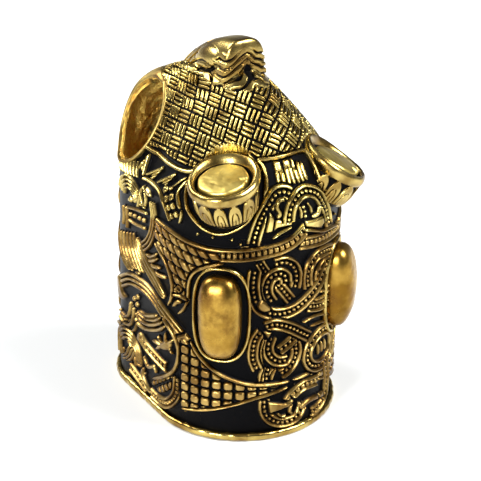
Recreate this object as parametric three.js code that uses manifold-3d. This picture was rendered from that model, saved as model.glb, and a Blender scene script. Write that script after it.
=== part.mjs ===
// A cast brass thimble shaped like an upright animal-head mount.
// Millimetres, +Z up. The front, with the two round ears, faces -Y and the finger goes in from below.
import * as THREE from 'three';
import Module from 'manifold-3d';
import { LoftGeometry } from 'three/addons/geometries/LoftGeometry.js';
import * as BufferGeometryUtils from 'three/addons/utils/BufferGeometryUtils.js';

const wasm = await Module();
wasm.setup();

// ---------------------------------------------------------------- driving dimensions

const clearance = 0.3;            // gap kept between neighbouring pieces
const wall = 1.3;                 // metal thickness of the barrel
const mouth = { halfWidth: 9.2, depth: 14.4 };             // outline at the open end
const shoulder = { halfWidth: 9.6, depth: 12.5, z: 22 };   // outline below the dome
const backCorner = 6.4;           // radius of the two back corners
const rimHeight = 0.8;            // plain band round the mouth
const rimProud = 0.1;
const splitHeight = 21.2;         // where the barrel ends and the hood begins

// Height and roundness of the dome's shoulder by |turn|, from the front (0) to the back (1).
const shoulderTurns = [0, 0.16, 0.3, 0.5, 0.66, 0.8, 1];
const shoulderHeights = [24.8, 24.8, 24.0, 23.6, 24.4, 25.4, 26.0];
const domeRoundness = [1.25, 1.15, 1.12, 1.15, 1.6, 2.7, 2.8];

// The dome closes on an oval platform that carries the snout. It slopes down to the back.
const platform = { halfWidth: 1.9, halfDepth: 3.7, y: 2.9, height: 34.6, slope: -0.16 };

// The casting isn't symmetrical: the ear on the +X side leans further out and sits a little lower.
const ear = { x: 6.1, y: -6.9, radius: 3.1, discRadius: 2.35 };
const earLeft = { side: -1, z: 27.1, lean: new THREE.Vector3(-0.22, -0.1, 0.95) };
const earRight = { side: 1, z: 26.4, lean: new THREE.Vector3(0.47, -0.2, 0.86) };
const oval = { turn: 0.205, z: 13.6, halfWidth: 2.0, halfHeight: 4.2, proud: 1.95, seat: 0.5, squareness: 3 };
const sideWindow = { y: 7.2, z: 28.8, halfDepth: 3.3, halfHeight: 3.75, lean: 0.35, lip: 0.4, lipProud: 0.2 };
const windowReach = { inner: 3.5, outer: 15 };     // how far in and out the window is cut along X
const snout = { front: -0.95, back: 6.1, halfWidth: 1.9, top: 37.5, chin: 32.5, flare: 0.8 };

// ---------------------------------------------------------------- surface of the thimble

const mix = THREE.MathUtils.lerp;

function readTable(keys, values, key) {
  const last = keys.length - 1;
  for (let i = 0; i < last; i++) {
    if (key <= keys[i + 1]) return mix(values[i], values[i + 1], (key - keys[i]) / (keys[i + 1] - keys[i]));
  }
  return values[last];
}

// A point of the outline at one height. turn runs from -1 to 1 along the outline:
// 0 is the middle of the front, 1 the middle of the back, and positive turns are on the +X side.
// The front is half a circle, then come straight sides, round corners and a flat back.
function outlinePoint(turn, z, out = 0) {
  const rise = THREE.MathUtils.clamp(z / shoulder.z, 0, 1.2);
  const halfWidth = mix(mouth.halfWidth, shoulder.halfWidth, rise);
  const depth = mix(mouth.depth, shoulder.depth, Math.min(rise, 1));
  const radius = halfWidth + out;
  const corner = backCorner + out;
  const frontArc = radius * Math.PI / 2;
  const side = depth - backCorner;
  const cornerArc = corner * Math.PI / 2;
  const back = halfWidth - backCorner;
  const run = Math.abs(turn) * (frontArc + side + cornerArc + back);
  const sign = Math.sign(turn) || 1;
  if (run <= frontArc) {
    const angle = run / radius;
    return new THREE.Vector3(sign * radius * Math.sin(angle), -radius * Math.cos(angle), z);
  }
  if (run <= frontArc + side) return new THREE.Vector3(sign * radius, run - frontArc, z);
  if (run <= frontArc + side + cornerArc) {
    const angle = (run - frontArc - side) / corner;
    return new THREE.Vector3(sign * (back + corner * Math.cos(angle)), side + corner * Math.sin(angle), z);
  }
  const left = frontArc + side + cornerArc + back - run;
  return new THREE.Vector3(sign * left, side + corner, z);
}

// A point of the whole outer surface: the straight wall below, the dome above the shoulder.
function surfacePoint(turn, z, out = 0) {
  const start = readTable(shoulderTurns, shoulderHeights, Math.abs(turn));
  if (z <= start) return outlinePoint(turn, z, out);
  return domePoint(turn, (z - start) / (platformPoint(turn).z - start), out);
}

function platformPoint(turn, out = 0) {
  const angle = turn * Math.PI;
  const y = platform.y - (platform.halfDepth + 0.4 * out) * Math.cos(angle);
  const x = (platform.halfWidth + 0.4 * out) * Math.sin(angle);
  return new THREE.Vector3(x, y, platform.height + platform.slope * y + out);
}

// rise runs from 0 at the shoulder to 1 at the platform. drop lowers the shoulder of the cavity.
function domePoint(turn, rise, out = 0, drop = 0) {
  const key = Math.abs(turn);
  const start = readTable(shoulderTurns, shoulderHeights, key) - drop;
  const power = readTable(shoulderTurns, domeRoundness, key);
  const low = outlinePoint(turn, start, out);
  const high = platformPoint(turn, out - 0.5 * drop);
  const inward = Math.pow(Math.max(0, 1 - Math.pow(rise, power)), 1 / power);
  return new THREE.Vector3(mix(high.x, low.x, inward), mix(high.y, low.y, inward), mix(start, high.z, rise));
}

// Three directions at a point of the surface: along the outline, up the surface, and outwards.
function surfaceFrame(turn, z) {
  const step = 0.002;
  const origin = surfacePoint(turn, z);
  const along = surfacePoint(turn + step, z).sub(surfacePoint(turn - step, z)).normalize();
  const rise = surfacePoint(turn, z + 0.05).sub(surfacePoint(turn, z - 0.05)).normalize();
  const outward = new THREE.Vector3().crossVectors(along, rise).normalize();
  const up = new THREE.Vector3().crossVectors(outward, along);
  return { origin, along, up, outward };
}

// ---------------------------------------------------------------- solids

const outlineSteps = 88;

function ring(makePoint, steps = outlineSteps) {
  return Array.from({ length: steps }, (_, i) => makePoint(-1 + 2 * i / steps));
}

function toSolid(shape) {
  const geometry = new THREE.BufferGeometry().copy(shape);
  geometry.deleteAttribute('normal');
  geometry.deleteAttribute('uv');
  const merged = BufferGeometryUtils.mergeVertices(geometry, 1e-5);
  const vertProperties = new Float32Array(merged.attributes.position.array);
  const triVerts = new Uint32Array(merged.index.array);
  return new wasm.Manifold(new wasm.Mesh({ numProp: 3, vertProperties, triVerts }));
}

function toGeometry(solid) {
  const mesh = solid.getMesh();
  const geometry = new THREE.BufferGeometry();
  geometry.setAttribute('position', new THREE.BufferAttribute(new Float32Array(mesh.vertProperties), 3));
  geometry.setIndex(new THREE.BufferAttribute(new Uint32Array(mesh.triVerts), 1));
  geometry.computeVertexNormals();
  return geometry;
}

function loft(sections) {
  return toSolid(new LoftGeometry(sections, { closed: true, capStart: true, capEnd: true }));
}

// The straight-walled shape between two heights, grown by `out` from the outer surface.
function wallSolid(lowZ, highZ, out) {
  return loft([ring((turn) => outlinePoint(turn, lowZ, out)), ring((turn) => outlinePoint(turn, highZ, out))]);
}

// The domed shape above a height. drop(turn) lowers the start of the dome.
function domeSolid(lowZ, out, drop = () => 0) {
  const rises = [0, 0.08, 0.2, 0.34, 0.48, 0.62, 0.76, 0.88, 0.95, 1];
  const sections = rises.map((rise) => ring((turn) => domePoint(turn, rise, out, drop(turn))));
  return loft([ring((turn) => outlinePoint(turn, lowZ, out)), ...sections]);
}

// The metal is thick under the ears and the brow, and thin round the side windows and the back.
function cavityDrop(turn) {
  return mix(3.6, 0.8, THREE.MathUtils.smoothstep(Math.abs(turn), 0.3, 0.5));
}

// An oval rod along X with the outline of the side windows. Its top leans to the back.
function windowRod(grow, fromX, toX) {
  const section = (x) => ring((turn) => {
    const angle = turn * Math.PI;
    const across = (sideWindow.halfDepth + grow) * Math.cos(angle);
    const upright = (sideWindow.halfHeight + grow) * Math.sin(angle);
    const y = sideWindow.y + across * Math.cos(sideWindow.lean) + upright * Math.sin(sideWindow.lean);
    const z = sideWindow.z - across * Math.sin(sideWindow.lean) + upright * Math.cos(sideWindow.lean);
    return new THREE.Vector3(x, y, z);
  }, 40);
  return loft([section(fromX), section(toX)]);
}

const beadHalfWidth = 0.2;
const beadHalfHeight = 0.18;

// A rounded bead that lies on the surface along a path of { turn, z } points.
function surfaceBead(path, halfWidth, halfHeight, closedPath) {
  const lift = clearance + halfHeight;
  const frames = path.map(({ turn, z }) => surfaceFrame(turn, z));
  const centres = frames.map(({ origin, outward }) => origin.clone().addScaledVector(outward, lift));
  const count = path.length;
  const sections = centres.map((centre, i) => {
    const next = closedPath ? centres[(i + 1) % count] : centres[Math.min(i + 1, count - 1)];
    const previous = closedPath ? centres[(i + count - 1) % count] : centres[Math.max(i - 1, 0)];
    const forward = next.clone().sub(previous).normalize();
    const sideways = new THREE.Vector3().crossVectors(frames[i].outward, forward).normalize();
    return ring((turn) => {
      const angle = turn * Math.PI;
      const point = centre.clone().addScaledVector(sideways, halfWidth * Math.cos(angle));
      return point.addScaledVector(frames[i].outward, halfHeight * Math.sin(angle));
    }, 10);
  });
  if (!closedPath) return loft(sections);
  const closedSections = [...sections, sections[0]];
  return toSolid(new LoftGeometry(closedSections, { closed: true, capStart: false, capEnd: false }));
}

// ---------------------------------------------------------------- ears

function earPlacement({ side, z, lean }) {
  const turnUp = new THREE.Quaternion().setFromUnitVectors(new THREE.Vector3(0, 1, 0), lean.clone().normalize());
  const place = new THREE.Matrix4().makeRotationFromQuaternion(turnUp);
  return place.setPosition(side * ear.x, ear.y, z);
}

// A turned shape on an ear's axis from [radius, height] pairs. It starts and ends on the axis.
function earTurning(which, profile) {
  const points = profile.map(([radius, height]) => new THREE.Vector2(radius, height));
  return toSolid(new THREE.LatheGeometry(points, 32).applyMatrix4(earPlacement(which)));
}

// Outside of the drum under an ear: [radius, height] from its foot up to the rim.
const drumProfile = [[1.5, -4.4], [2.3, -3.9], [2.8, -3.2], [3.0, -2.2], [3.05, -1.1], [ear.radius, -0.3]];
const cupFloor = -0.65;
const cupLip = 0.25;

function earCup(which) {
  const seatRadius = ear.discRadius + clearance;
  const foot = [[0, drumProfile[0][1]], ...drumProfile];
  const top = [[ear.radius, cupLip - 0.15], [ear.radius - 0.1, cupLip], [seatRadius, cupLip]];
  const cup = earTurning(which, [...foot, ...top, [seatRadius, cupFloor], [0, cupFloor]]);
  return cup.subtract(domeSolid(15, -wall + 0.5 + clearance, cavityDrop));
}

function earSocket(which) {
  const grown = drumProfile.map(([radius, height]) => [radius + clearance, height]);
  const foot = drumProfile[0][1] - clearance;
  const outside = [[0, foot], [drumProfile[0][0] + clearance, foot], ...grown, [ear.radius + clearance, 5], [0, 5]];
  return earTurning(which, outside).subtract(domeSolid(15, -wall + 0.5, cavityDrop));
}

function earDisc(which) {
  const r = ear.discRadius;
  const base = cupFloor + clearance;
  return earTurning(which, [[0, base], [r, base], [r, 0.1], [0.93 * r, 0.3], [0.75 * r, 0.42], [0, 0.5]]);
}

function earCollar(which) {
  const path = Array.from({ length: 29 }, (_, i) => {
    const angle = Math.PI * i / 28;
    return { turn: which.side * 0.215 - 0.1 * Math.cos(angle), z: 25.6 - 3.6 * Math.sin(angle) };
  });
  return surfaceBead(path, beadHalfWidth, beadHalfHeight, false).subtract(earSocket(which));
}

// ---------------------------------------------------------------- ovals on the front corners

// Sections of a boss on the surface: each level is [height above the surface, size].
function ovalSolid(side, levels, grow) {
  const { origin, along, up, outward } = surfaceFrame(side * oval.turn, oval.z);
  return loft(levels.map(([height, size]) => ring((turn) => {
    const angle = turn * Math.PI;
    const across = Math.sign(Math.cos(angle)) * Math.pow(Math.abs(Math.cos(angle)), 2 / oval.squareness);
    const upright = Math.sign(Math.sin(angle)) * Math.pow(Math.abs(Math.sin(angle)), 2 / oval.squareness);
    const point = origin.clone().addScaledVector(outward, height);
    point.addScaledVector(along, across * (oval.halfWidth * size + grow));
    return point.addScaledVector(up, upright * (oval.halfHeight * size + grow));
  }, 36)));
}

function ovalBoss(side) {
  const top = oval.proud;
  const crown = [[0.45 * top, 1], [0.7 * top, 0.95], [0.88 * top, 0.82], [0.97 * top, 0.6], [top, 0.3]];
  return ovalSolid(side, [[-oval.seat, 1], ...crown], 0);
}

function ovalPocket(side) {
  return ovalSolid(side, [[-oval.seat - clearance, 1], [3, 1]], clearance);
}

function ovalCollar(side) {
  const halfOutline = 34.4;       // half of the outline's length, which turns one turn unit into mm
  const path = Array.from({ length: 56 }, (_, i) => {
    const angle = 2 * Math.PI * i / 56;
    const across = Math.sign(Math.cos(angle)) * Math.pow(Math.abs(Math.cos(angle)), 0.75);
    const upright = Math.sign(Math.sin(angle)) * Math.pow(Math.abs(Math.sin(angle)), 0.75);
    const turn = side * oval.turn + (oval.halfWidth + 0.7) / halfOutline * across;
    return { turn, z: oval.z + (oval.halfHeight + 0.7) * upright };
  });
  return surfaceBead(path, beadHalfWidth, beadHalfHeight, true);
}

// ---------------------------------------------------------------- head

function barrel() {
  const bottom = rimHeight + clearance;
  const body = wallSolid(bottom, splitHeight, 0).subtract(wallSolid(-1, splitHeight + 1, -wall));
  return body.subtract(ovalPocket(-1)).subtract(ovalPocket(1));
}

function rimBand() {
  return wallSolid(0, rimHeight, rimProud).subtract(wallSolid(-1, rimHeight + 1, -wall));
}

function hood() {
  const body = domeSolid(splitHeight + clearance, 0).subtract(domeSolid(splitHeight - 1, -wall, cavityDrop));
  const grow = sideWindow.lip + clearance;
  const leftHole = windowRod(grow, -windowReach.outer, -windowReach.inner + clearance);
  const rightHole = windowRod(grow, windowReach.inner - clearance, windowReach.outer);
  return body.subtract(leftHole).subtract(rightHole).subtract(earSocket(earLeft)).subtract(earSocket(earRight));
}

// A short sleeve that lines the hood's side opening and stands a little proud of it.
function windowLiner(side) {
  const cavity = domeSolid(splitHeight - 2, -wall, cavityDrop);
  const skin = domeSolid(splitHeight - 1, sideWindow.lipProud).subtract(cavity);
  const from = Math.min(side * windowReach.inner, side * windowReach.outer);
  const to = Math.max(side * windowReach.inner, side * windowReach.outer);
  const sleeve = windowRod(sideWindow.lip, from, to).subtract(windowRod(0, from - 1, to + 1));
  return skin.intersect(sleeve);
}

// Inverted U between the ears, round the panel of the brow.
function browFrame() {
  const leg = Array.from({ length: 6 }, (_, i) => ({ turn: 0.084, z: mix(25.7, 27.7, i / 6) }));
  const bar = Array.from({ length: 13 }, (_, i) => {
    const across = mix(1, -1, i / 12);
    return { turn: 0.082 * across, z: 28.3 - 0.4 * Math.pow(Math.abs(across), 6) };
  });
  const otherLeg = leg.map(({ turn, z }) => ({ turn: -turn, z })).reverse();
  return surfaceBead([...leg, ...bar, ...otherLeg], beadHalfWidth, beadHalfHeight, false);
}

// The snout is a blunt ridge that sits astride the top of the dome. Its sections stand across Y,
// from the front to the back, and flare towards the dome, which trims them from below.
function snoutBody() {
  const length = snout.back - snout.front;
  const stations = [0, 0.03, 0.1, 0.3, 0.5, 0.7, 0.85, 0.95, 1];
  const sections = stations.map((station) => {
    const y = snout.front + station * length;
    const blunt = station < 0.1 ? 1 - 0.16 * Math.pow(1 - station / 0.1, 2) : 1;
    const crest = mix(snout.top, platform.height + 0.4, Math.pow(station, 1.35));
    const top = snout.chin + (crest - snout.chin) * blunt;
    const halfWidth = snout.halfWidth * blunt * Math.sqrt(1 - 0.75 * Math.pow(station, 3));
    return ring((turn) => {
      const angle = turn * Math.PI;
      const across = Math.sign(Math.cos(angle)) * Math.pow(Math.abs(Math.cos(angle)), 0.55);
      const upright = Math.sign(Math.sin(angle)) * Math.pow(Math.abs(Math.sin(angle)), 0.55);
      const flare = snout.flare * (1 - upright) / 2;
      const middle = (snout.chin + top) / 2;
      return new THREE.Vector3(-(halfWidth + flare) * across, y, middle + (top - snout.chin) / 2 * upright);
    }, 28);
  });
  return loft(sections).subtract(domeSolid(splitHeight, clearance));
}

// ---------------------------------------------------------------- assembly

const assembly = new THREE.Group();

function addPiece(name, solid, color, roughness) {
  const material = new THREE.MeshStandardMaterial({ color, roughness, metalness: 1 });
  const mesh = new THREE.Mesh(toGeometry(solid), material);
  mesh.name = name;
  assembly.add(mesh);
}

const antiqueBrass = 0x8a6c34;
const brightBrass = 0xd2a94f;

addPiece('barrel', barrel(), antiqueBrass, 0.45);
addPiece('rim_band', rimBand(), brightBrass, 0.3);
addPiece('hood', hood(), antiqueBrass, 0.45);
addPiece('snout', snoutBody(), brightBrass, 0.35);
addPiece('brow_frame', browFrame(), brightBrass, 0.35);

for (const [name, which] of [['left', earLeft], ['right', earRight]]) {
  const side = which.side;
  addPiece(`ear_cup_${name}`, earCup(which), antiqueBrass, 0.4);
  addPiece(`ear_disc_${name}`, earDisc(which), brightBrass, 0.25);
  addPiece(`ear_collar_${name}`, earCollar(which), brightBrass, 0.35);
  addPiece(`oval_boss_${name}`, ovalBoss(side), brightBrass, 0.2);
  addPiece(`oval_collar_${name}`, ovalCollar(side), brightBrass, 0.35);
  addPiece(`window_lip_${name}`, windowLiner(side), brightBrass, 0.35);
}

// The origin is under the middle of the thimble, on the surface that it stands on.
const bounds = new THREE.Box3().setFromObject(assembly);
const middle = bounds.getCenter(new THREE.Vector3());
assembly.position.set(-middle.x, -middle.y, -bounds.min.z);

const thimble = new THREE.Group();
thimble.add(assembly);

export default thimble;
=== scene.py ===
"""Looks of a cast brass thimble shaped like an upright animal-head mount.

The wall and the hood are one smooth surface. Its ornament is a height map over the unrolled wall,
drawn stroke by stroke in millimetres: s runs along the outline from the middle of the front, negative
to the viewer's left, and z runs up from the mouth. Meshes made from it replace the plain CAD shells.
"""
import math

import bpy
import numpy as np
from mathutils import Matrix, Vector


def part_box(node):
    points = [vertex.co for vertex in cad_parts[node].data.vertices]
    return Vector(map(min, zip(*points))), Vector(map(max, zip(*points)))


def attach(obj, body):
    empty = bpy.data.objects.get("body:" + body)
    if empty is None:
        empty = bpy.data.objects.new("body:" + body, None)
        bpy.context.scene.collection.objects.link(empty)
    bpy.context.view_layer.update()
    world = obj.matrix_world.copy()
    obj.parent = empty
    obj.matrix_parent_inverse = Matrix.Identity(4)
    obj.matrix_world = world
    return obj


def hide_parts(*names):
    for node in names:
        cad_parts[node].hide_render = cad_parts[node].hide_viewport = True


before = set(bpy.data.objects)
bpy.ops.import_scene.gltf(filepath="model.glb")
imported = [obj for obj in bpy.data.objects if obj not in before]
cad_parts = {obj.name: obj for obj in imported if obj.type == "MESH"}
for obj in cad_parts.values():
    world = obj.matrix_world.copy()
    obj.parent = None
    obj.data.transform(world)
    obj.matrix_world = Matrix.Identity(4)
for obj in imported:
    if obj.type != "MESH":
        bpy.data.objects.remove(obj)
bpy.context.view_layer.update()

MM = 0.001

# ------------------------------------------------------------------ the surface, as in the CAD model

MOUTH = {"half_width": 9.2, "depth": 14.4}
SHOULDER = {"half_width": 9.6, "depth": 12.5, "z": 22.0}
BACK_CORNER = 6.4
WALL = 1.3
RIM_HEIGHT = 0.8
RIM_PROUD = 0.1
SPLIT = 21.35                       # where the barrel's skin meets the hood's
SHOULDER_TURNS = (0, 0.16, 0.3, 0.5, 0.66, 0.8, 1)
SHOULDER_HEIGHTS = (24.8, 24.8, 24.0, 23.6, 24.4, 25.4, 26.0)
DOME_ROUNDNESS = (1.25, 1.15, 1.12, 1.15, 1.6, 2.7, 2.8)
PLATFORM = {"half_width": 1.9, "half_depth": 3.7, "y": 2.9, "height": 34.6, "slope": -0.16}
EAR = {"x": 6.1, "y": -6.9, "disc": 2.35}
EARS = {
    "left": {"side": -1, "z": 27.1, "lean": (-0.22, -0.1, 0.95)},
    "right": {"side": 1, "z": 26.4, "lean": (0.47, -0.2, 0.86)},
}
OVAL = {"turn": 0.205, "z": 13.6, "half_width": 2.0, "half_height": 4.2, "proud": 1.95, "squareness": 3.0}
WINDOW = {"y": 7.2, "z": 28.8, "half_depth": 3.3, "half_height": 3.75, "lean": 0.35, "lip": 0.4}
WINDOW_INNER = 3.5                  # the windows are cut no nearer to the middle plane than this
SNOUT = {"front": -0.95, "back": 8.0, "half_width": 1.9, "top": 37.5, "back_top": 33.9, "chin": 32.5}
HALF_OUTLINE = 34.4                 # length of half the outline, front to back

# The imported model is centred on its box, so the design's origin is read off the rim band.
rim_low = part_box("rim_band")[0]
ORIGIN_X = rim_low[0] / MM + MOUTH["half_width"] + RIM_PROUD
ORIGIN_Y = rim_low[1] / MM + MOUTH["half_width"] + RIM_PROUD


def outline(turn, z, out=0.0):
    """Points of the outline: half a circle in front, straight sides, round corners, a flat back."""
    turn, z = np.broadcast_arrays(np.asarray(turn, float), np.asarray(z, float))
    rise = np.clip(z / SHOULDER["z"], 0, 1.2)
    half_width = MOUTH["half_width"] + (SHOULDER["half_width"] - MOUTH["half_width"]) * rise
    depth = MOUTH["depth"] + (SHOULDER["depth"] - MOUTH["depth"]) * np.minimum(rise, 1)
    radius = half_width + out
    corner = BACK_CORNER + out
    front_arc = radius * math.pi / 2
    side = depth - BACK_CORNER
    corner_arc = corner * math.pi / 2
    back = half_width - BACK_CORNER
    run = np.abs(turn) * (front_arc + side + corner_arc + back)
    sign = np.where(turn < 0, -1.0, 1.0)
    angle = np.minimum(run, front_arc) / radius
    x = radius * np.sin(angle)
    y = -radius * np.cos(angle)
    on_side = run > front_arc
    x = np.where(on_side, radius, x)
    y = np.where(on_side, run - front_arc, y)
    on_corner = run > front_arc + side
    angle = (run - front_arc - side) / corner
    x = np.where(on_corner, back + corner * np.cos(angle), x)
    y = np.where(on_corner, side + corner * np.sin(angle), y)
    on_back = run > front_arc + side + corner_arc
    x = np.where(on_back, front_arc + side + corner_arc + back - run, x)
    y = np.where(on_back, side + corner, y)
    return np.stack([sign * x, y, z], -1)


def shoulder_height(turn):
    return np.interp(np.abs(turn), SHOULDER_TURNS, SHOULDER_HEIGHTS)


def platform(turn, out=0.0):
    """Points of the small sloping oval on which the dome ends, under the snout."""
    angle = np.asarray(turn, float) * math.pi
    y = PLATFORM["y"] - (PLATFORM["half_depth"] + 0.4 * out) * np.cos(angle)
    x = (PLATFORM["half_width"] + 0.4 * out) * np.sin(angle)
    return np.stack([x, y, PLATFORM["height"] + PLATFORM["slope"] * y + out], -1)


def dome(turn, sweep, out=0.0, drop=0.0):
    """Points of the dome. sweep runs from 0 at the shoulder to 1 at the platform under the snout."""
    turn, sweep = np.broadcast_arrays(np.asarray(turn, float), np.asarray(sweep, float))
    start = shoulder_height(turn) - drop
    power = np.interp(np.abs(turn), SHOULDER_TURNS, DOME_ROUNDNESS)
    low = outline(turn, start, out)
    high = platform(turn, out - 0.5 * np.asarray(drop))
    inward = np.cos(sweep * math.pi / 2) ** (2 / power)
    rise = np.sin(sweep * math.pi / 2) ** (2 / power)
    flat = high + (low - high) * inward[..., None]
    flat[..., 2] = start + (high[..., 2] - start) * rise
    return flat


def wall_or_dome(turn, z, out=0.0):
    """Points of the whole surface by height."""
    turn, z = np.broadcast_arrays(np.asarray(turn, float), np.asarray(z, float))
    start = shoulder_height(turn)
    power = np.interp(np.abs(turn), SHOULDER_TURNS, DOME_ROUNDNESS)
    top = platform(turn)[..., 2]
    rise = np.clip((z - start) / (top - start), 0, 1)
    sweep = np.arcsin(rise ** (power / 2)) * 2 / math.pi
    return np.where((z <= start)[..., None], outline(turn, z, out), dome(turn, sweep, out))


def surface_frame(turn, z):
    """The point, and the directions along the outline, up the surface and outwards."""
    point = wall_or_dome(turn, z)
    along = wall_or_dome(turn + 0.002, z) - wall_or_dome(turn - 0.002, z)
    rise = wall_or_dome(turn, z + 0.05) - wall_or_dome(turn, z - 0.05)
    along /= np.linalg.norm(along, axis=-1, keepdims=True)
    outward = np.cross(along, rise)
    outward /= np.linalg.norm(outward, axis=-1, keepdims=True)
    return point, along, np.cross(outward, along), outward


# ------------------------------------------------------------------ drawing the relief

GRID_STEP = 0.05
TOPS = {"line": 0.95, "edge": 0.97, "bead": 0.85, "area": 0.9, "scale": 0.88, "dot": 0.85}
RIB_GROOVE = 0.14
BAND_GROOVE = 0.13
SHAPE_REACH = 4.0                   # farther in than the middle of any filled shape


def smooth(edge0, edge1, value):
    share = np.clip((value - edge0) / (edge1 - edge0), 0, 1)
    return share * share * (3 - 2 * share)


def dome_profile(distance, reach):
    """A worn-down hump: 1 over a broad middle, 0 from reach outwards."""
    return np.sqrt(np.clip(1 - (distance / reach) ** 3.5, 0, 1))


def curve_point(a, b, c, d, t):
    """A place between b and c on the smooth curve through a, b, c and d."""
    cubic = (-a + 3 * b - 3 * c + d) * t ** 3 + (2 * a - 5 * b + 4 * c - d) * t ** 2
    return 0.5 * (cubic + (c - a) * t + 2 * b)


def spline(points, spacing=0.12, closed=False):
    """A smooth curve through a few points."""
    knots = np.array(points, float)
    if closed:
        knots = np.vstack([knots[-1:], knots, knots[:2]])
    else:
        knots = np.vstack([2 * knots[0] - knots[1], knots, 2 * knots[-1] - knots[-2]])
    pieces = []
    for a, b, c, d in zip(knots[:-3], knots[1:-2], knots[2:-1], knots[3:]):
        count = max(2, int(np.linalg.norm(c - b) / spacing))
        t = np.linspace(0, 1, count, endpoint=False)[:, None]
        pieces.append(curve_point(a, b, c, d, t))
    return np.vstack(pieces + [knots[-2][None]])


def closed_path(corners, curved):
    """The outline of a filled shape, curved or with straight edges."""
    return spline(corners, closed=True) if curved else np.array([*corners, corners[0]], float)


def tapered(along, total, taper, least):
    """Share of its width that a stroke keeps towards its ends."""
    ends = np.minimum(along, total - along) / taper
    return least + (1 - least) * np.sqrt(np.clip(ends, 0, 1))


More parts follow.
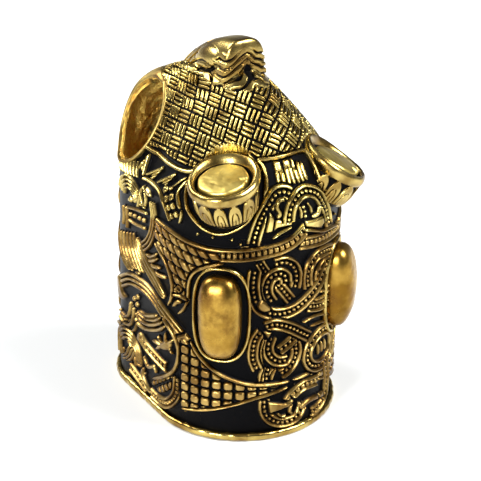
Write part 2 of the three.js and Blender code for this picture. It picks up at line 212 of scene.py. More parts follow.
class Relief:
    """Height of the ornament over the unrolled wall: 0 is the sunk ground and 1 the polished top."""

    def __init__(self, low_s, high_s, low_z, high_z):
        self.s = np.arange(low_s, high_s, GRID_STEP)
        self.z = np.arange(low_z, high_z, GRID_STEP)
        self.height = np.zeros((len(self.z), len(self.s)))

    def window(self, points, reach):
        """Rows and columns of the grid that lie within reach of some points."""
        (low_s, low_z), (high_s, high_z) = points.min(0) - reach, points.max(0) + reach
        columns = slice(*np.searchsorted(self.s, (low_s, high_s)))
        rows = slice(*np.searchsorted(self.z, (low_z, high_z)))
        return rows, columns

    def distances(self, path, reach):
        """Distance to a path, and how far along it the nearest point lies, near the path only."""
        rows, columns = self.window(path, reach)
        s, z = np.meshgrid(self.s[columns], self.z[rows])
        nearest = np.full(s.shape, reach * 2)
        along = np.zeros(s.shape)
        travelled = 0.0
        for (s0, z0), (s1, z1) in zip(path[:-1], path[1:]):
            length = math.hypot(s1 - s0, z1 - z0)
            if length < 1e-9:
                continue
            i0, i1 = np.searchsorted(s[0], (min(s0, s1) - reach, max(s0, s1) + reach))
            j0, j1 = np.searchsorted(z[:, 0], (min(z0, z1) - reach, max(z0, z1) + reach))
            near_s, near_z = s[j0:j1, i0:i1], z[j0:j1, i0:i1]
            share = ((near_s - s0) * (s1 - s0) + (near_z - z0) * (z1 - z0)) / length ** 2
            share = np.clip(share, 0, 1)
            gap = np.hypot(near_s - s0 - share * (s1 - s0), near_z - z0 - share * (z1 - z0))
            closer = gap < nearest[j0:j1, i0:i1]
            nearest[j0:j1, i0:i1] = np.where(closer, gap, nearest[j0:j1, i0:i1])
            along[j0:j1, i0:i1] = np.where(closer, travelled + share * length, along[j0:j1, i0:i1])
            travelled += length
        return rows, columns, nearest, along, travelled

    def lay(self, rows, columns, inside, height):
        """Puts a stroke on top of what is there."""
        patch = self.height[rows, columns]
        self.height[rows, columns] = np.where(inside, height, patch)

    def line(self, points, width=0.34, groove=0.12, taper=0.0, closed=False, straight=False):
        """One rounded line, with a groove that parts it from what it crosses."""
        path = np.array(points, float) if straight else spline(points, closed=closed)
        rows, columns, gap, along, total = self.distances(path, width / 2 + groove)
        half = np.full(gap.shape, width / 2)
        if taper:
            half *= tapered(along, total, taper, 0.25)
        self.lay(rows, columns, gap < half + groove, TOPS["line"] * dome_profile(gap, half))

    def ribs(self, points, pitch, taper=0.0):
        """Three parallel lines that follow one curve, as the ribs of a limb or a mane."""
        half = 3 * pitch / 2
        rows, columns, gap, along, total = self.distances(spline(points), half + RIB_GROOVE)
        across = gap / tapered(along, total, taper, 0.3) if taper else gap
        from_rib = np.abs((across + pitch / 2) % pitch - pitch / 2)
        ribs = np.where(across < half, 1 - smooth(0.22, 0.46, from_rib / pitch), 0)
        cut = (along > 0) & (along < total)
        self.lay(rows, columns, (across < half + RIB_GROOVE) & cut, TOPS["line"] * ribs)

    def beaded(self, points, half=0.5, edge=0.17, bead=0.19, pitch=0.5, closed=False, flat=False):
        """A strand with two raised edges and a row of beads between them."""
        path = spline(points, closed=closed)
        outer = half + edge + BAND_GROOVE
        rows, columns, gap, along, total = self.distances(path, outer)
        step = total / max(1, round(total / pitch))
        from_bead = np.abs(along % step - step / 2)
        if flat:
            square = np.maximum(from_bead / (step * 0.4), gap / (half - edge - 0.06))
            beads = np.sqrt(np.clip(1 - square ** 6, 0, 1))
        else:
            beads = dome_profile(np.hypot(from_bead, gap), bead)
        edges = TOPS["edge"] * dome_profile(np.abs(gap - half), edge)
        height = np.maximum(edges, np.where(gap < half, TOPS["bead"] * beads, 0))
        cut = (along > 0) & (along < total) | closed
        self.lay(rows, columns, (gap < outer) & cut, height)

    def area(self, corners, bevel=0.2, groove=0.12, curved=False):
        """A filled shape with rounded shoulders."""
        path = closed_path(corners, curved)
        rows, columns, gap, _, _ = self.distances(path, SHAPE_REACH)
        inside = self.inside(path, rows, columns)
        shoulder = np.where(inside, smooth(-0.02, bevel, gap), 0)
        self.lay(rows, columns, inside | (gap < groove), TOPS["area"] * shoulder)

    def inside(self, path, rows, columns):
        """Which grid points a closed path surrounds."""
        s, z = np.meshgrid(self.s[columns], self.z[rows])
        crossings = np.zeros(s.shape, bool)
        for (s0, z0), (s1, z1) in zip(path[:-1], path[1:]):
            if z0 == z1:
                continue
            spans = (z0 > z) != (z1 > z)
            crossings ^= spans & (s < s0 + (z - z0) * (s1 - s0) / (z1 - z0))
        return crossings

    def cells(self, corners, lattice, gap=0.12, curved=False):
        """Rounded scales that fill a shape. lattice(s, z) gives cell coordinates, one unit per cell."""
        path = closed_path(corners, curved)
        rows, columns, edge, _, _ = self.distances(path, SHAPE_REACH)
        s, z = np.meshgrid(self.s[columns], self.z[rows])
        across, up = lattice(s, z)
        du = np.abs(across - np.round(across)) / (0.5 - gap)
        dv = np.abs(up - np.round(up)) / (0.5 - gap)
        square = (du ** 4 + dv ** 4) ** 0.25
        scales = TOPS["scale"] * np.clip(1 - square ** 7, 0, 1) ** 0.4 * smooth(0.0, 0.08, edge)
        self.lay(rows, columns, self.inside(path, rows, columns), scales)

    def dots(self, places, radius):
        """Round beads that stand alone."""
        for place in places:
            rows, columns = self.window(np.array([place], float), radius)
            s, z = np.meshgrid(self.s[columns], self.z[rows])
            gap = np.hypot(s - place[0], z - place[1])
            self.lay(rows, columns, gap < radius, TOPS["dot"] * dome_profile(gap, radius))

    def soften(self):
        """Rounds the drawing slightly, as casting wax does."""
        h = self.height
        h[:, 1:-1] = 0.25 * h[:, :-2] + 0.5 * h[:, 1:-1] + 0.25 * h[:, 2:]
        h[1:-1] = 0.25 * h[:-2] + 0.5 * h[1:-1] + 0.25 * h[2:]

    def sample(self, s, z):
        """Height at any places, blended between the four grid points around each."""
        i = np.clip((s - self.s[0]) / GRID_STEP, 0, len(self.s) - 1.001)
        j = np.clip((z - self.z[0]) / GRID_STEP, 0, len(self.z) - 1.001)
        i0, j0 = i.astype(int), j.astype(int)
        a, b = i - i0, j - j0
        h = self.height
        low = h[j0, i0] * (1 - a) + h[j0, i0 + 1] * a
        high = h[j0 + 1, i0] * (1 - a) + h[j0 + 1, i0 + 1] * a
        return low * (1 - b) + high * b


class Side:
    """Draws on one side: every s is multiplied by sign, so one design serves left and right."""

    def __init__(self, relief, sign):
        self.relief = relief
        self.sign = sign

    def flip(self, points):
        return [(self.sign * s, z) for s, z in points]

    def line(self, points, **options):
        self.relief.line(self.flip(points), **options)

    def ribs(self, points, **options):
        self.relief.ribs(self.flip(points), **options)

    def beaded(self, points, **options):
        self.relief.beaded(self.flip(points), **options)

    def area(self, points, **options):
        self.relief.area(self.flip(points), **options)

    def cells(self, points, lattice, **options):
        self.relief.cells(self.flip(points), lambda s, z: lattice(self.sign * s, z), **options)

    def dots(self, points, **options):
        self.relief.dots(self.flip(points), **options)


# ------------------------------------------------------------------ ornament of one side, drawn for the left

WAIST_TOP = [(-14.6, 21.55), (-12.5, 21.1), (-11, 20.7), (-9.5, 20.42), (-8, 20.25), (-6.5, 20.3),
             (-4.6, 20.6)]
SCALE_TOP = [(-10.1, 10.2), (-9.3, 9.0), (-8.3, 8.05), (-7, 7.2), (-5.5, 6.6), (-4, 6.2), (-2, 6.0),
             (-0.2, 5.95)]
SCALE_FOOT = [(-11.2, 2.35), (-9, 2.85), (-7, 3.5), (-5, 4.2), (-3.5, 4.7), (-1.5, 5.1), (-0.4, 5.35)]


def waist_top(s):
    return np.interp(s, *zip(*WAIST_TOP))


def waist_lattice(s, z):
    """Lozenge scales under the waist line: they lean, and each row steps half a scale."""
    depth = (waist_top(s) - 0.62 - z) / 1.02
    return (s + 14.3) / 1.08 - 0.62 * depth, depth


def waist_scales(side):
    """A tongue of scales that hangs from the waist line, framed by three lines."""
    corners = [(-14.6, 21.3), (-11, 20.5), (-8, 20.1), (-4.6, 20.4), (-4.6, 19.45), (-6.4, 19.25),
               (-8.3, 18.6)]
    corners += [(-9.7, 17.9), (-10.35, 16.5), (-10.5, 14.6), (-12.0, 14.1), (-12.25, 16.4), (-12.9, 17.4)]
    corners += [(-14.0, 18.5), (-14.9, 19.0)]
    side.cells(corners, waist_lattice, gap=0.05, curved=True)
    side.line(WAIST_TOP, width=0.42)
    left_edge = [(-15.1, 18.9), (-14.3, 18.45), (-13.5, 17.8), (-12.9, 17.0), (-12.5, 16), (-12.35, 15)]
    side.line(left_edge + [(-12.5, 14), (-12.95, 13.1)], width=0.42, taper=0.8)
    right_edge = [(-6.6, 19.15), (-7.6, 18.75), (-8.6, 18.35), (-9.5, 17.8), (-10.1, 17), (-10.35, 16),
                  (-10.4, 15)]
    side.line(right_edge + [(-10.5, 14.3), (-11.0, 13.3), (-11.6, 12.7)], width=0.4, taper=0.6)
    side.line([(-12.1, 14.55), (-11.3, 14.65), (-10.6, 14.55)], width=0.36)
    side.line([(-12.2, 13.3), (-11.7, 13.9), (-11.1, 14.1)], width=0.5, taper=0.5)
    side.line([(-11.75, 15.4), (-11.45, 15.7), (-11.15, 15.4), (-11.45, 15.1)], width=0.2, closed=True)


def lower_scales(side):
    """Rows of square scales between two bowed lines."""
    def lattice(s, z):
        return (s + 10.75) / 1.13, (z - 3.95) / 1.02

    corners = [(-11.35, 9.6), (-10.2, 9.9), (-9.3, 8.8), (-8.3, 7.85), (-7, 7.0), (-5.5, 6.45), (-4, 6.05)]
    corners += [(-2, 5.85), (-0.8, 5.8), (-1.2, 5.3), (-3.5, 4.85), (-5, 4.35), (-7, 3.65), (-9, 3.0),
                (-11.2, 2.5)]
    side.cells(corners, lattice, gap=0.075, curved=True)
    side.line(SCALE_TOP, width=0.36, taper=0.8)
    side.line(SCALE_FOOT, width=0.3, taper=0.8)


def ear_surround(side):
    """The spiked collar between the hood's lower edge and the ear."""
    side.line([(-20.2, 27.35), (-18, 26.95), (-15, 26.75), (-12, 26.7), (-10.7, 26.9), (-9.9, 27.3)],
              width=0.4)
    spikes = [[(-19.0, 24.9), (-18.2, 26.5), (-17.9, 24.8)]]
    spikes += [[(s, 25.0), (s + 2.1, 26.15), (s + 1.0, 24.95)] for s in (-17.4, -15.1)]
    for spike in spikes:
        side.line(spike, width=0.32, straight=True, groove=0.08)
        (low_s, low_z), (top_s, top_z), _ = spike
        side.line([(low_s + 0.75, low_z + 0.1), (top_s - 0.25, top_z - 0.45)], width=0.24, taper=0.5,
                  groove=0.05)
    # fringe under the window
    for share in np.linspace(0, 1, 7):
        s = -22.4 + 3.1 * share
        side.line([(s, 25.2 + 0.5 * share), (s + 0.35, 24.6 + 0.3 * share), (s + 0.7, 23.9 + 0.4 * share)],
                  width=0.28, taper=0.7, groove=0.1)
    side.line([(-12.9, 25.1), (-11.9, 25.9), (-11.4, 26.2)], width=0.24)

    def lattice(s, z):
        return (s + 0.55 * z) / 0.85, (z - 0.55 * s) / 0.95

    side.cells([(-14.3, 25.0), (-12.3, 25.3), (-11.6, 24.4), (-11.3, 22.4), (-12.6, 22.2), (-13.2, 23.6)],
               lattice)
    side.line([(-17.7, 24.55), (-16, 24.6), (-14.5, 24.4), (-13.7, 23.9), (-13.1, 23.0), (-12.7, 22.2)],
              width=0.34)
    side.line([(-11.1, 26.1), (-11.75, 25.4), (-11.9, 24.8), (-11.5, 24.1), (-11.1, 23.5)], width=0.36,
              taper=0.5)
    side.line([(-11.1, 23.6), (-11.2, 22.9), (-11.4, 22.2)], width=0.36, taper=0.4)
    side.dots([(-7.9, 21.5), (-9.4, 21.6), (-6.1, 21.4), (-5.3, 20.95)], radius=0.16)


def beast_neck(side):
    """The neck's coil under the spikes."""
    for radius in (1.15, 1.55, 1.95, 2.35):
        arc = [(-20.1 + radius * math.cos(a), 21.6 + radius * math.sin(a)) for a in np.linspace(0.1, 2.9, 9)]
        side.line(arc, width=0.3, groove=0.08)
    side.area([(-20.6, 21.4), (-20.0, 22.1), (-19.5, 21.5), (-20.0, 21.1)], curved=True, bevel=0.3)
    side.line([(-18.4, 21.5), (-17.9, 22.8), (-17.2, 23.9), (-16.7, 22.9), (-17.0, 22.0)], width=0.32)
    side.line([(-17.9, 23.0), (-17.5, 22.2), (-17.1, 21.8)], width=0.3)
    side.area([(-17.0, 24.1), (-15.9, 24.0), (-15.5, 23.4), (-16.4, 23.2)], curved=True, bevel=0.3)


def shoulder_bar(side):
    """A bar with square beads, and the ribs beside it."""
    side.line([(-20.6, 20.5), (-19, 20.9), (-16.7, 21.35)], width=0.34)
    side.line([(-20.4, 19.25), (-19, 19.3), (-17.1, 19.6)], width=0.34)
    for s, z in ((-20.1, 19.95), (-19.2, 20.1), (-18.2, 20.25), (-17.3, 20.4)):
        side.area([(s - 0.36, z - 0.3), (s + 0.3, z - 0.3), (s + 0.36, z + 0.32), (s - 0.3, z + 0.3)],
                  bevel=0.2)
    side.line([(-20.9, 20.4), (-20.7, 19.4), (-20.8, 18.3)], width=0.3)
    side.line([(-21.5, 20.3), (-21.4, 19.3), (-21.6, 18.4)], width=0.3)
    side.ribs([(-15.4, 23.0), (-15.2, 21.5), (-15.6, 19.8), (-16.5, 18.4), (-17.6, 17.5)], pitch=0.4)


def mane(side):
    """Strands that hang from the shoulder, tufts, and a long lock that ends in a point."""
    first = np.array([(-23.0, 17.1), (-22.7, 15.4), (-21.7, 14.3), (-20.5, 13.6)])
    last = np.array([(-19.5, 18.2), (-19.2, 16.8), (-18.4, 15.6), (-17.5, 14.6)])
    for share in np.linspace(0, 1, 6):
        strand = first + (last - first) * share
        side.line([tuple(point) for point in strand], width=0.3, taper=0.9, groove=0.2)
    tufts = [[(-16.9, 17.0), (-15.9, 17.1), (-14.7, 17.9)], [(-17.4, 16.5), (-16.2, 16.5), (-14.6, 17.4)]]
    tufts += [[(-17.2, 16.15), (-15.7, 16.2), (-14.1, 16.6)], [(-16.9, 15.8), (-15.0, 15.7), (-13.1, 15.95)]]
    for tuft in tufts:
        side.line(tuft, width=0.44, taper=0.7, groove=0.06)
    side.ribs([(-18.8, 18.0), (-18.2, 16.9), (-16.8, 15.7), (-14.9, 14.7), (-13.4, 13.75)], pitch=0.5,
              taper=2.0)


def ribbed_limb(side):
    """A long limb that ends in a hoof by the lower scales, and the line that curves down from it."""
    side.area([(-19.5, 14.1), (-18.4, 14.4), (-18.2, 13.6), (-19.4, 13.4)], bevel=0.25)
    side.ribs([(-22.4, 11.6), (-20.7, 12.6), (-19.0, 13.0), (-17.2, 13.1), (-15.4, 12.75), (-13.6, 12.0),
               (-12.0, 11.0), (-11.1, 10.3)], pitch=0.52)
    side.area([(-11.9, 10.2), (-10.6, 11.0), (-9.8, 10.35), (-11.5, 9.4)], bevel=0.22)
    side.line([(-13.8, 11.3), (-12.6, 10.5), (-11.8, 9.5), (-11.55, 8.5), (-11.75, 7.3), (-12.3, 6.1),
               (-13.6, 4.9),
               (-14.8, 4.1), (-15.9, 3.5)], width=0.5, taper=0.8)


def fin(side):
    """Four ribs that fan out above the paw."""
    fins = [[(-19.7, 9.1), (-19.0, 8.3), (-17.2, 8.5), (-14.9, 9.5), (-13.4, 10.6)]]
    fins += [[(-19.4, 9.35), (-18.3, 8.95), (-16.3, 9.4), (-13.9, 10.8)]]
    fins += [[(-19.1, 9.6), (-17.4, 9.65), (-15.7, 10.25), (-14.3, 11.1)], [(-18.8, 9.9), (-17.1, 10.1),
                                                                            (-14.9, 11.1)]]
    for fin in fins:
        side.line(fin, width=0.46, taper=0.6, groove=0.06)


def paw(side):
    """A clenched paw with its claws."""
    side.area([(-15.2, 7.7), (-14.3, 8.5), (-13.3, 9.2), (-12.4, 9.2), (-12.6, 8.3), (-13.4, 7.8),
               (-14.3, 7.6)],
              curved=True, bevel=0.3)
    for claw in ([(-14.4, 8.1), (-15.9, 7.9)], [(-14.1, 8.5), (-14.8, 8.9)], [(-13.5, 8.9), (-13.4, 9.9)],
                 [(-13.0, 8.9), (-12.2, 9.6)], [(-12.9, 8.4), (-12.3, 8.0)], [(-14.3, 7.9), (-15.2, 7.3)]):
        side.line(claw, width=0.44, taper=0.5, groove=0.0, straight=True)


def forearm(side):
    """A beaded forearm that crosses the curved line under the limb."""
    side.area([(-19.3, 6.5), (-18.9, 7.5), (-18.1, 7.5), (-17.9, 6.6), (-18.5, 6.2)], curved=True, bevel=0.3)
    side.beaded([(-18.4, 7.0), (-17.0, 6.45), (-15.3, 6.2), (-13.3, 6.0)], half=0.44, edge=0.17, pitch=0.66,
                bead=0.24)


def hind_strands(side):
    """Ladder bands and hooks at the back of the beast."""
    side.beaded([(-23.2, 7.6), (-21.9, 7.4), (-20.7, 8.4), (-20.0, 10.0)], half=0.42, pitch=0.5)
    side.line([(-24.4, 5.9), (-21.9, 6.6), (-20.4, 7.6), (-19.6, 9.2)], width=0.34)
    side.beaded([(-23.3, 2.8), (-23.5, 4.5), (-22.8, 5.7), (-21.7, 6.0), (-20.8, 5.6), (-20.0, 4.8),
                 (-19.4, 4.0),
                 (-19.1, 3.2)], half=0.42, pitch=0.5)
    for s, z in ((-22.3, 3.8), (-21.6, 3.9), (-21.0, 4.2)):
        side.line([(s, z), (s + 0.1, z - 1.1)], width=0.34, straight=True)
    side.beaded([(-20.9, 2.35), (-19.6, 2.05), (-18.4, 1.75), (-17.4, 1.45)], half=0.42, flat=True,
                pitch=0.56)
    side.line([(-18.3, 4.7), (-18.35, 3.6), (-17.6, 3.1)], width=0.5, taper=0.6)
    side.line([(-17.8, 5.1), (-17.0, 4.3), (-15.7, 4.9), (-15.3, 4.4)], width=0.46, taper=0.5)
    side.line([(-17.9, 3.7), (-18.2, 2.8), (-17.4, 1.9), (-16.4, 1.4)], width=0.52, taper=0.5)


def scaled_corner(side):
    """A patch of lozenge scales and the square-beaded band round it."""
    def lattice(s, z):
        return (s + 0.75 * z) / 1.05, (z - 0.75 * s) / 1.25

    side.cells([(-12.1, 5.7), (-12.5, 3.7), (-13.9, 2.6), (-15.8, 2.5), (-16.3, 3.0), (-14.3, 4.2)], lattice)
    side.beaded([(-11.6, 5.5), (-11.9, 3.6), (-13.1, 2.1), (-14.8, 1.5), (-16.5, 1.5)], half=0.46, flat=True,
                pitch=0.46)


def hip(side):
    """The hip's arcs and ribs."""
    for radius in (1.7, 2.15, 2.6):
        arc = [(-21.0 + radius * math.cos(a), 3.9 + radius * math.sin(a)) for a in np.linspace(0.0, 2.5, 8)]
        side.line(arc, width=0.32, groove=0.08)
    for shift in (0, 0.55, 1.1):
        side.line([(-22.3 + shift, 2.9), (-21.5 + shift, 3.6), (-20.9 + shift, 4.7)], width=0.34, taper=0.4)


def beast_tail(side):
    """A tail that curls down between the hip and the limb."""
    side.line([(-20.4, 10.0), (-20.7, 8.8), (-21.4, 8.0), (-22.6, 7.9)], width=0.34)
    side.line([(-19.8, 9.6), (-20.0, 8.4), (-20.8, 7.3), (-22.0, 6.9)], width=0.34)
    side.line([(-19.2, 8.2), (-19.6, 7.4), (-20.4, 6.7)], width=0.3, taper=0.6)
    side.area([(-24.6, 11.2), (-23.2, 12.0), (-22.2, 10.8), (-21.2, 10.3), (-22.2, 9.4), (-23.6, 9.3)],
              curved=True,
              bevel=0.4)
    side.dots([(-19.7, 10.8), (-19.0, 11.3), (-19.1, 10.4)], radius=0.32)


def gripping_beast(side):
    """The beast of the side panel. Later parts cross over earlier ones."""
    for part in (beast_neck, shoulder_bar, mane, ribbed_limb, fin, paw, forearm, hind_strands, scaled_corner,
                 hip,
                 beast_tail):
        part(side)


def back_interlace(relief):
    """The back is of free design: three plaits of the same beaded band, a rail and spikes."""
    rows = 5
    for lane in (-6.2, 0.0, 6.2):
        for phase in (0, 1):
            for row in range(rows):
                z0 = 1.9 + row * 3.9
                swing = 1.7 if (row + phase) % 2 else -1.7
                path = [(0, 0), (swing, 1.95), (0, 3.9)]
                relief.beaded([(HALF_OUTLINE + lane + s, z0 + z) for s, z in path])
    relief.beaded([(HALF_OUTLINE + s, 23.2) for s in (-8.2, -4.1, 0.0, 4.1, 8.2)], flat=True, pitch=0.6)
    relief.line([(HALF_OUTLINE + s, 26.9) for s in (-8.6, -4.3, 0.0, 4.3, 8.6)], width=0.4)
    for tooth in range(-5, 6):
        s = HALF_OUTLINE + 1.5 * tooth
        relief.line([(s - 0.5, 24.5), (s, 25.9), (s + 0.5, 24.5)], width=0.3, straight=True, groove=0.08)


# ------------------------------------------------------------------ ornament of the front

def waist_bands(relief):
    """Beaded bands that meet under the brow."""
    band = relief.beaded
    band([(7.4, 19.6), (5.5, 19.75), (3.2, 19.9), (0.6, 20.25)], half=0.5, flat=True, pitch=0.56)
    band([(-7.2, 19.75), (-5, 19.85), (-3, 20.05), (-1.3, 20.3), (0.1, 20.85), (1.3, 21.8)], half=0.5,
         flat=True,
         pitch=0.56)


def brow_strokes(relief):
    """Upright strokes between the brow and the arches, joined in groups at the top."""
    for foot, top in ((-1.45, -1.35), (-0.85, -0.9), (-0.3, -0.25), (0.2, 0.2), (0.75, 0.7), (1.25, 1.35),
                      (1.75, 1.8)):
        high = 28.1 - 0.25 * max(0.0, foot)
        relief.line([(top, high), ((top + foot) / 2, 27.1), (foot, 26.15)], width=0.42, groove=0.04,
                    taper=0.35)
    for low, high, foot in ((-1.6, -0.75, 27.3), (-0.45, 0.4, 27.55), (0.55, 0.9, 27.3)):
        relief.area([(low, 28.2), (high, 28.2), (high - 0.02, foot), (low + 0.05, foot)], bevel=0.12,
                    groove=0)


def brow_arches(relief):
    """Two beaded arches under the brow, with what they frame."""
    band = relief.beaded
    band([(-4.15, 20.9), (-3.85, 22.2), (-3.4, 23.5), (-2.75, 24.7), (-1.95, 25.55), (-1.15, 25.7),
          (-0.4, 25.4)],
         pitch=0.5)
    relief.line([(-2.0, 23.3), (-1.65, 23.7), (-1.95, 24.4), (-1.8, 25.0), (-1.35, 25.1)], width=0.4,
                groove=0.06)
    relief.area([(-3.1, 21.9), (-2.65, 24.3), (-2.15, 23.5), (-1.8, 22.9), (-2.2, 21.95)], bevel=0.25)
    relief.area([(-2.1, 23.25), (-0.3, 22.95), (-0.3, 22.35), (-1.9, 22.3), (-2.3, 21.7)], bevel=0.2)
    relief.line([(-2.3, 21.35), (-1.5, 21.85), (-0.4, 22.2)], width=0.3, taper=0.5)
    relief.line([(0.35, 24.1), (0.6, 23.4), (0.6, 22.8)], width=0.28, taper=0.4)
    relief.line([(1.3, 24.2), (1.7, 23.6), (1.85, 23.0)], width=0.28, taper=0.4)
    relief.dots([(0.85, 23.9), (1.02, 23.4), (1.12, 22.9)], radius=0.19)
    band([(-0.7, 22.7), (-0.65, 23.5), (-0.35, 24.5), (0.45, 25.2), (1.4, 25.3), (2.45, 24.8), (3.3, 23.8),
          (4.15, 22.4), (4.7, 20.9)], half=0.46, pitch=0.52)
    relief.line([(2.95, 23.2), (2.75, 22.7), (2.2, 22.6)], width=0.45, groove=0.05)
    relief.area([(0.95, 22.5), (2.4, 22.3), (3.6, 22.25), (3.9, 21.5), (3.2, 20.95), (1.2, 21.75)],
                bevel=0.22)
    relief.line([(1.3, 21.45), (2.3, 21.1), (3.6, 20.6), (5.2, 20.35), (6.6, 20.0)], width=0.32, groove=0.1)


def upper_left_spiral(relief):
    """The left half of the upper knot."""
    band = relief.beaded
    band([(-3.5, 19.1), (-3.1, 18.4), (-2.8, 17.9)], half=0.36, edge=0.13, bead=0.14)
    band([(-2.1, 18.7), (-1.1, 18.75), (-0.3, 18.3), (0.15, 17.6), (0.3, 16.7), (0.1, 15.8)])
    band([(-0.3, 14.7), (-1.0, 15.7), (-1.75, 16.7)], half=0.42)
    band([(-2.2, 14.8), (-2.7, 15.7), (-2.75, 16.7), (-2.3, 17.5), (-1.55, 17.7), (-0.95, 17.3),
          (-0.85, 16.6)])


def upper_right_spiral(relief):
    """The right half of the upper knot, and the strand through both."""
    band = relief.beaded
    band([(1.75, 15.4), (1.6, 16.6), (1.95, 17.75), (2.9, 18.35), (4.2, 18.35), (5.6, 18.0)], half=0.44)
    band([(3.1, 15.6), (3.15, 16.5), (4.1, 17.1), (5.4, 16.7), (6.4, 15.4), (6.7, 13.9), (6.1, 12.95),
          (4.8, 12.75),
          (3.4, 12.85), (1.9, 13.3)], half=0.42)
    relief.line([(2.6, 13.75), (4.2, 13.6), (5.6, 13.9)], width=0.3, taper=0.4)
    relief.line([(3.4, 14.3), (4.6, 14.2), (5.6, 14.5)], width=0.3, taper=0.4)
    band([(-3.9, 18.3), (-4.05, 17.0), (-3.95, 15.7), (-3.5, 14.5), (-2.5, 13.75), (-1.2, 13.45), (0.2, 13.6),
          (1.6, 14.2), (2.9, 15.0), (3.9, 16.0), (4.6, 17.0)])
    relief.area([(-3.75, 14.5), (-3.3, 15.3), (-2.6, 14.8), (-2.2, 14.0), (-3.1, 13.8)], curved=True,
                bevel=0.3,
                groove=0.0)


def lower_left_spiral(relief):
    """The left half of the lower knot."""
    band = relief.beaded
    band([(-2.4, 7.9), (-2.6, 7.2), (-2.6, 6.5)], half=0.4, bead=0.16)
    band([(-1.2, 6.95), (-0.4, 7.35), (0.25, 8.1), (0.5, 9.0), (0.35, 10.0)], half=0.48)
    relief.line([(-2.95, 8.0), (-3.25, 7.2), (-3.3, 6.5)], width=0.34, taper=0.4)
    relief.line([(-1.7, 7.7), (-2.0, 7.0), (-2.1, 6.5)], width=0.34, taper=0.4)
    band([(-2.2, 11.2), (-2.5, 10.2), (-2.4, 9.4), (-1.9, 8.7), (-1.2, 8.35), (-0.5, 8.35)], half=0.45)
    band([(-1.4, 9.55), (-0.5, 10.1), (0.4, 10.7)], half=0.42)
    relief.line([(-3.0, 10.9), (-3.25, 9.8), (-3.1, 8.7), (-2.95, 8.1)], width=0.26)
    band([(-3.2, 11.9), (-3.75, 11.1), (-3.95, 9.9), (-3.9, 8.9), (-3.5, 7.8)], half=0.4)
    band([(2.0, 10.1), (1.0, 10.85), (0.0, 11.6), (-1.0, 12.15), (-2.0, 12.45), (-2.9, 12.3)], half=0.46)
    relief.area([(-3.2, 12.0), (-2.0, 11.75), (-2.5, 10.8)], bevel=0.25)


def lower_ring(relief):
    """A beaded ring that holds three fingers."""
    band = relief.beaded
    relief.line([(1.3, 11.9), (2.6, 12.0), (4.2, 11.6), (5.6, 10.9), (6.6, 10.0)], width=0.28)
    relief.line([(2.2, 11.1), (3.4, 11.0), (4.6, 10.7)], width=0.28, taper=0.5)
    ring = [(4.1 + 2.2 * math.cos(a), 8.0 + 1.85 * math.sin(a)) for a in np.linspace(0, 2 * math.pi, 12)[:-1]]
    band(ring, half=0.48, closed=True, pitch=0.56, bead=0.19)
    for s in (3.4, 4.0, 4.6):
        relief.line([(s, 8.7), (s + 0.1, 8.1), (s + 0.05, 7.5)], width=0.32, taper=0.5)


def right_strands(relief):
    """Two beaded strands at the right edge of the panel."""
    band = relief.beaded
    band([(7.0, 9.6), (6.7, 8.0), (6.1, 6.5)], half=0.4)
    band([(4.9, 6.4), (5.4, 4.4), (5.35, 2.8), (4.9, 1.9), (4.0, 1.45), (2.7, 1.3)], half=0.42)


def bottom_serpent(relief):
    """The lowest serpent, with its forked tail."""
    band = relief.beaded
    band([(-0.4, 3.7), (0.4, 4.45), (1.7, 4.85), (3.6, 4.6)], half=0.46, flat=True, pitch=0.66)
    band([(-2.75, 4.4), (-2.7, 3.2), (-2.2, 2.25), (-1.2, 1.6), (0.0, 1.45), (0.9, 1.8), (1.35, 2.5),
          (1.45, 3.2)],
         half=0.42)
    relief.area([(-2.45, 4.2), (-1.6, 3.95), (-0.6, 3.65), (0.1, 3.9), (0.5, 3.7), (0.1, 3.0), (-0.7, 3.0),
                 (-1.5, 2.85), (-2.3, 2.75)], bevel=0.22)
    relief.line([(0.15, 3.3), (-0.1, 2.6), (0.25, 2.2)], width=0.36, taper=0.4)
    relief.line([(-1.4, 2.6), (-0.9, 2.2), (-0.5, 2.3)], width=0.26, taper=0.3)
    relief.line([(1.3, 2.6), (2.1, 2.85), (3.2, 2.8), (4.4, 2.5)], width=0.6, groove=0.06)
    relief.area([(3.6, 3.0), (4.75, 2.9), (4.9, 2.0), (3.9, 2.3)], bevel=0.22, groove=0.05)


def front_knot(relief):
    """The front's serpents. Later strands cross over earlier ones."""
    for part in (waist_bands, brow_strokes, brow_arches, upper_left_spiral, upper_right_spiral,
                 lower_left_spiral,
                 lower_ring, right_strands, bottom_serpent):
        part(relief)


# ------------------------------------------------------------------ the hood's basket weave

QUARTER = {"azimuth": -31.0, "elevation": 24.5}    # the weave lies flat to this front quarter
ROW = {"pitch": 1.25, "dip": 26.4}                 # rows fall to the right
COLUMN = {"pitch": 1.365, "lean": 71.3}
WEAVE_ORIGIN = (-3.36, 29.19)                      # middle of an upright cell, across and up the quarter
RIDGE_POINT = np.array((0.0, -5.3, 31.0))          # halfway down the middle of the front


def weave_top(x, y):
    """Height where the weave ends below the snout."""
    return 33.3 + 0.35 * smooth(0.2, 1.0, 1 - np.abs(x)) + 0.25 * smooth(1.0, 4.0, y)


def weave_edge(s):
    """Lower edge of the weave: over the brow, round the ears, and level along the sides."""
    distance = np.abs(s)
    keys = (0, 3.2, 3.8, 5.2, 7.0, 8.8, 10.0, 10.8, 19.0, 34.4)
    heights = (28.75, 28.55, 28.9, 29.0, 28.9, 28.2, 27.5, 27.15, 27.35, 27.2)
    return np.interp(distance, keys, heights)


def quarter_axes():
    a, e = math.radians(QUARTER["azimuth"]), math.radians(QUARTER["elevation"])
    across = np.array((math.cos(a), math.sin(a), 0))
    up = np.array((-math.sin(a) * math.sin(e), math.cos(a) * math.sin(e), math.cos(e)))
    return across, up


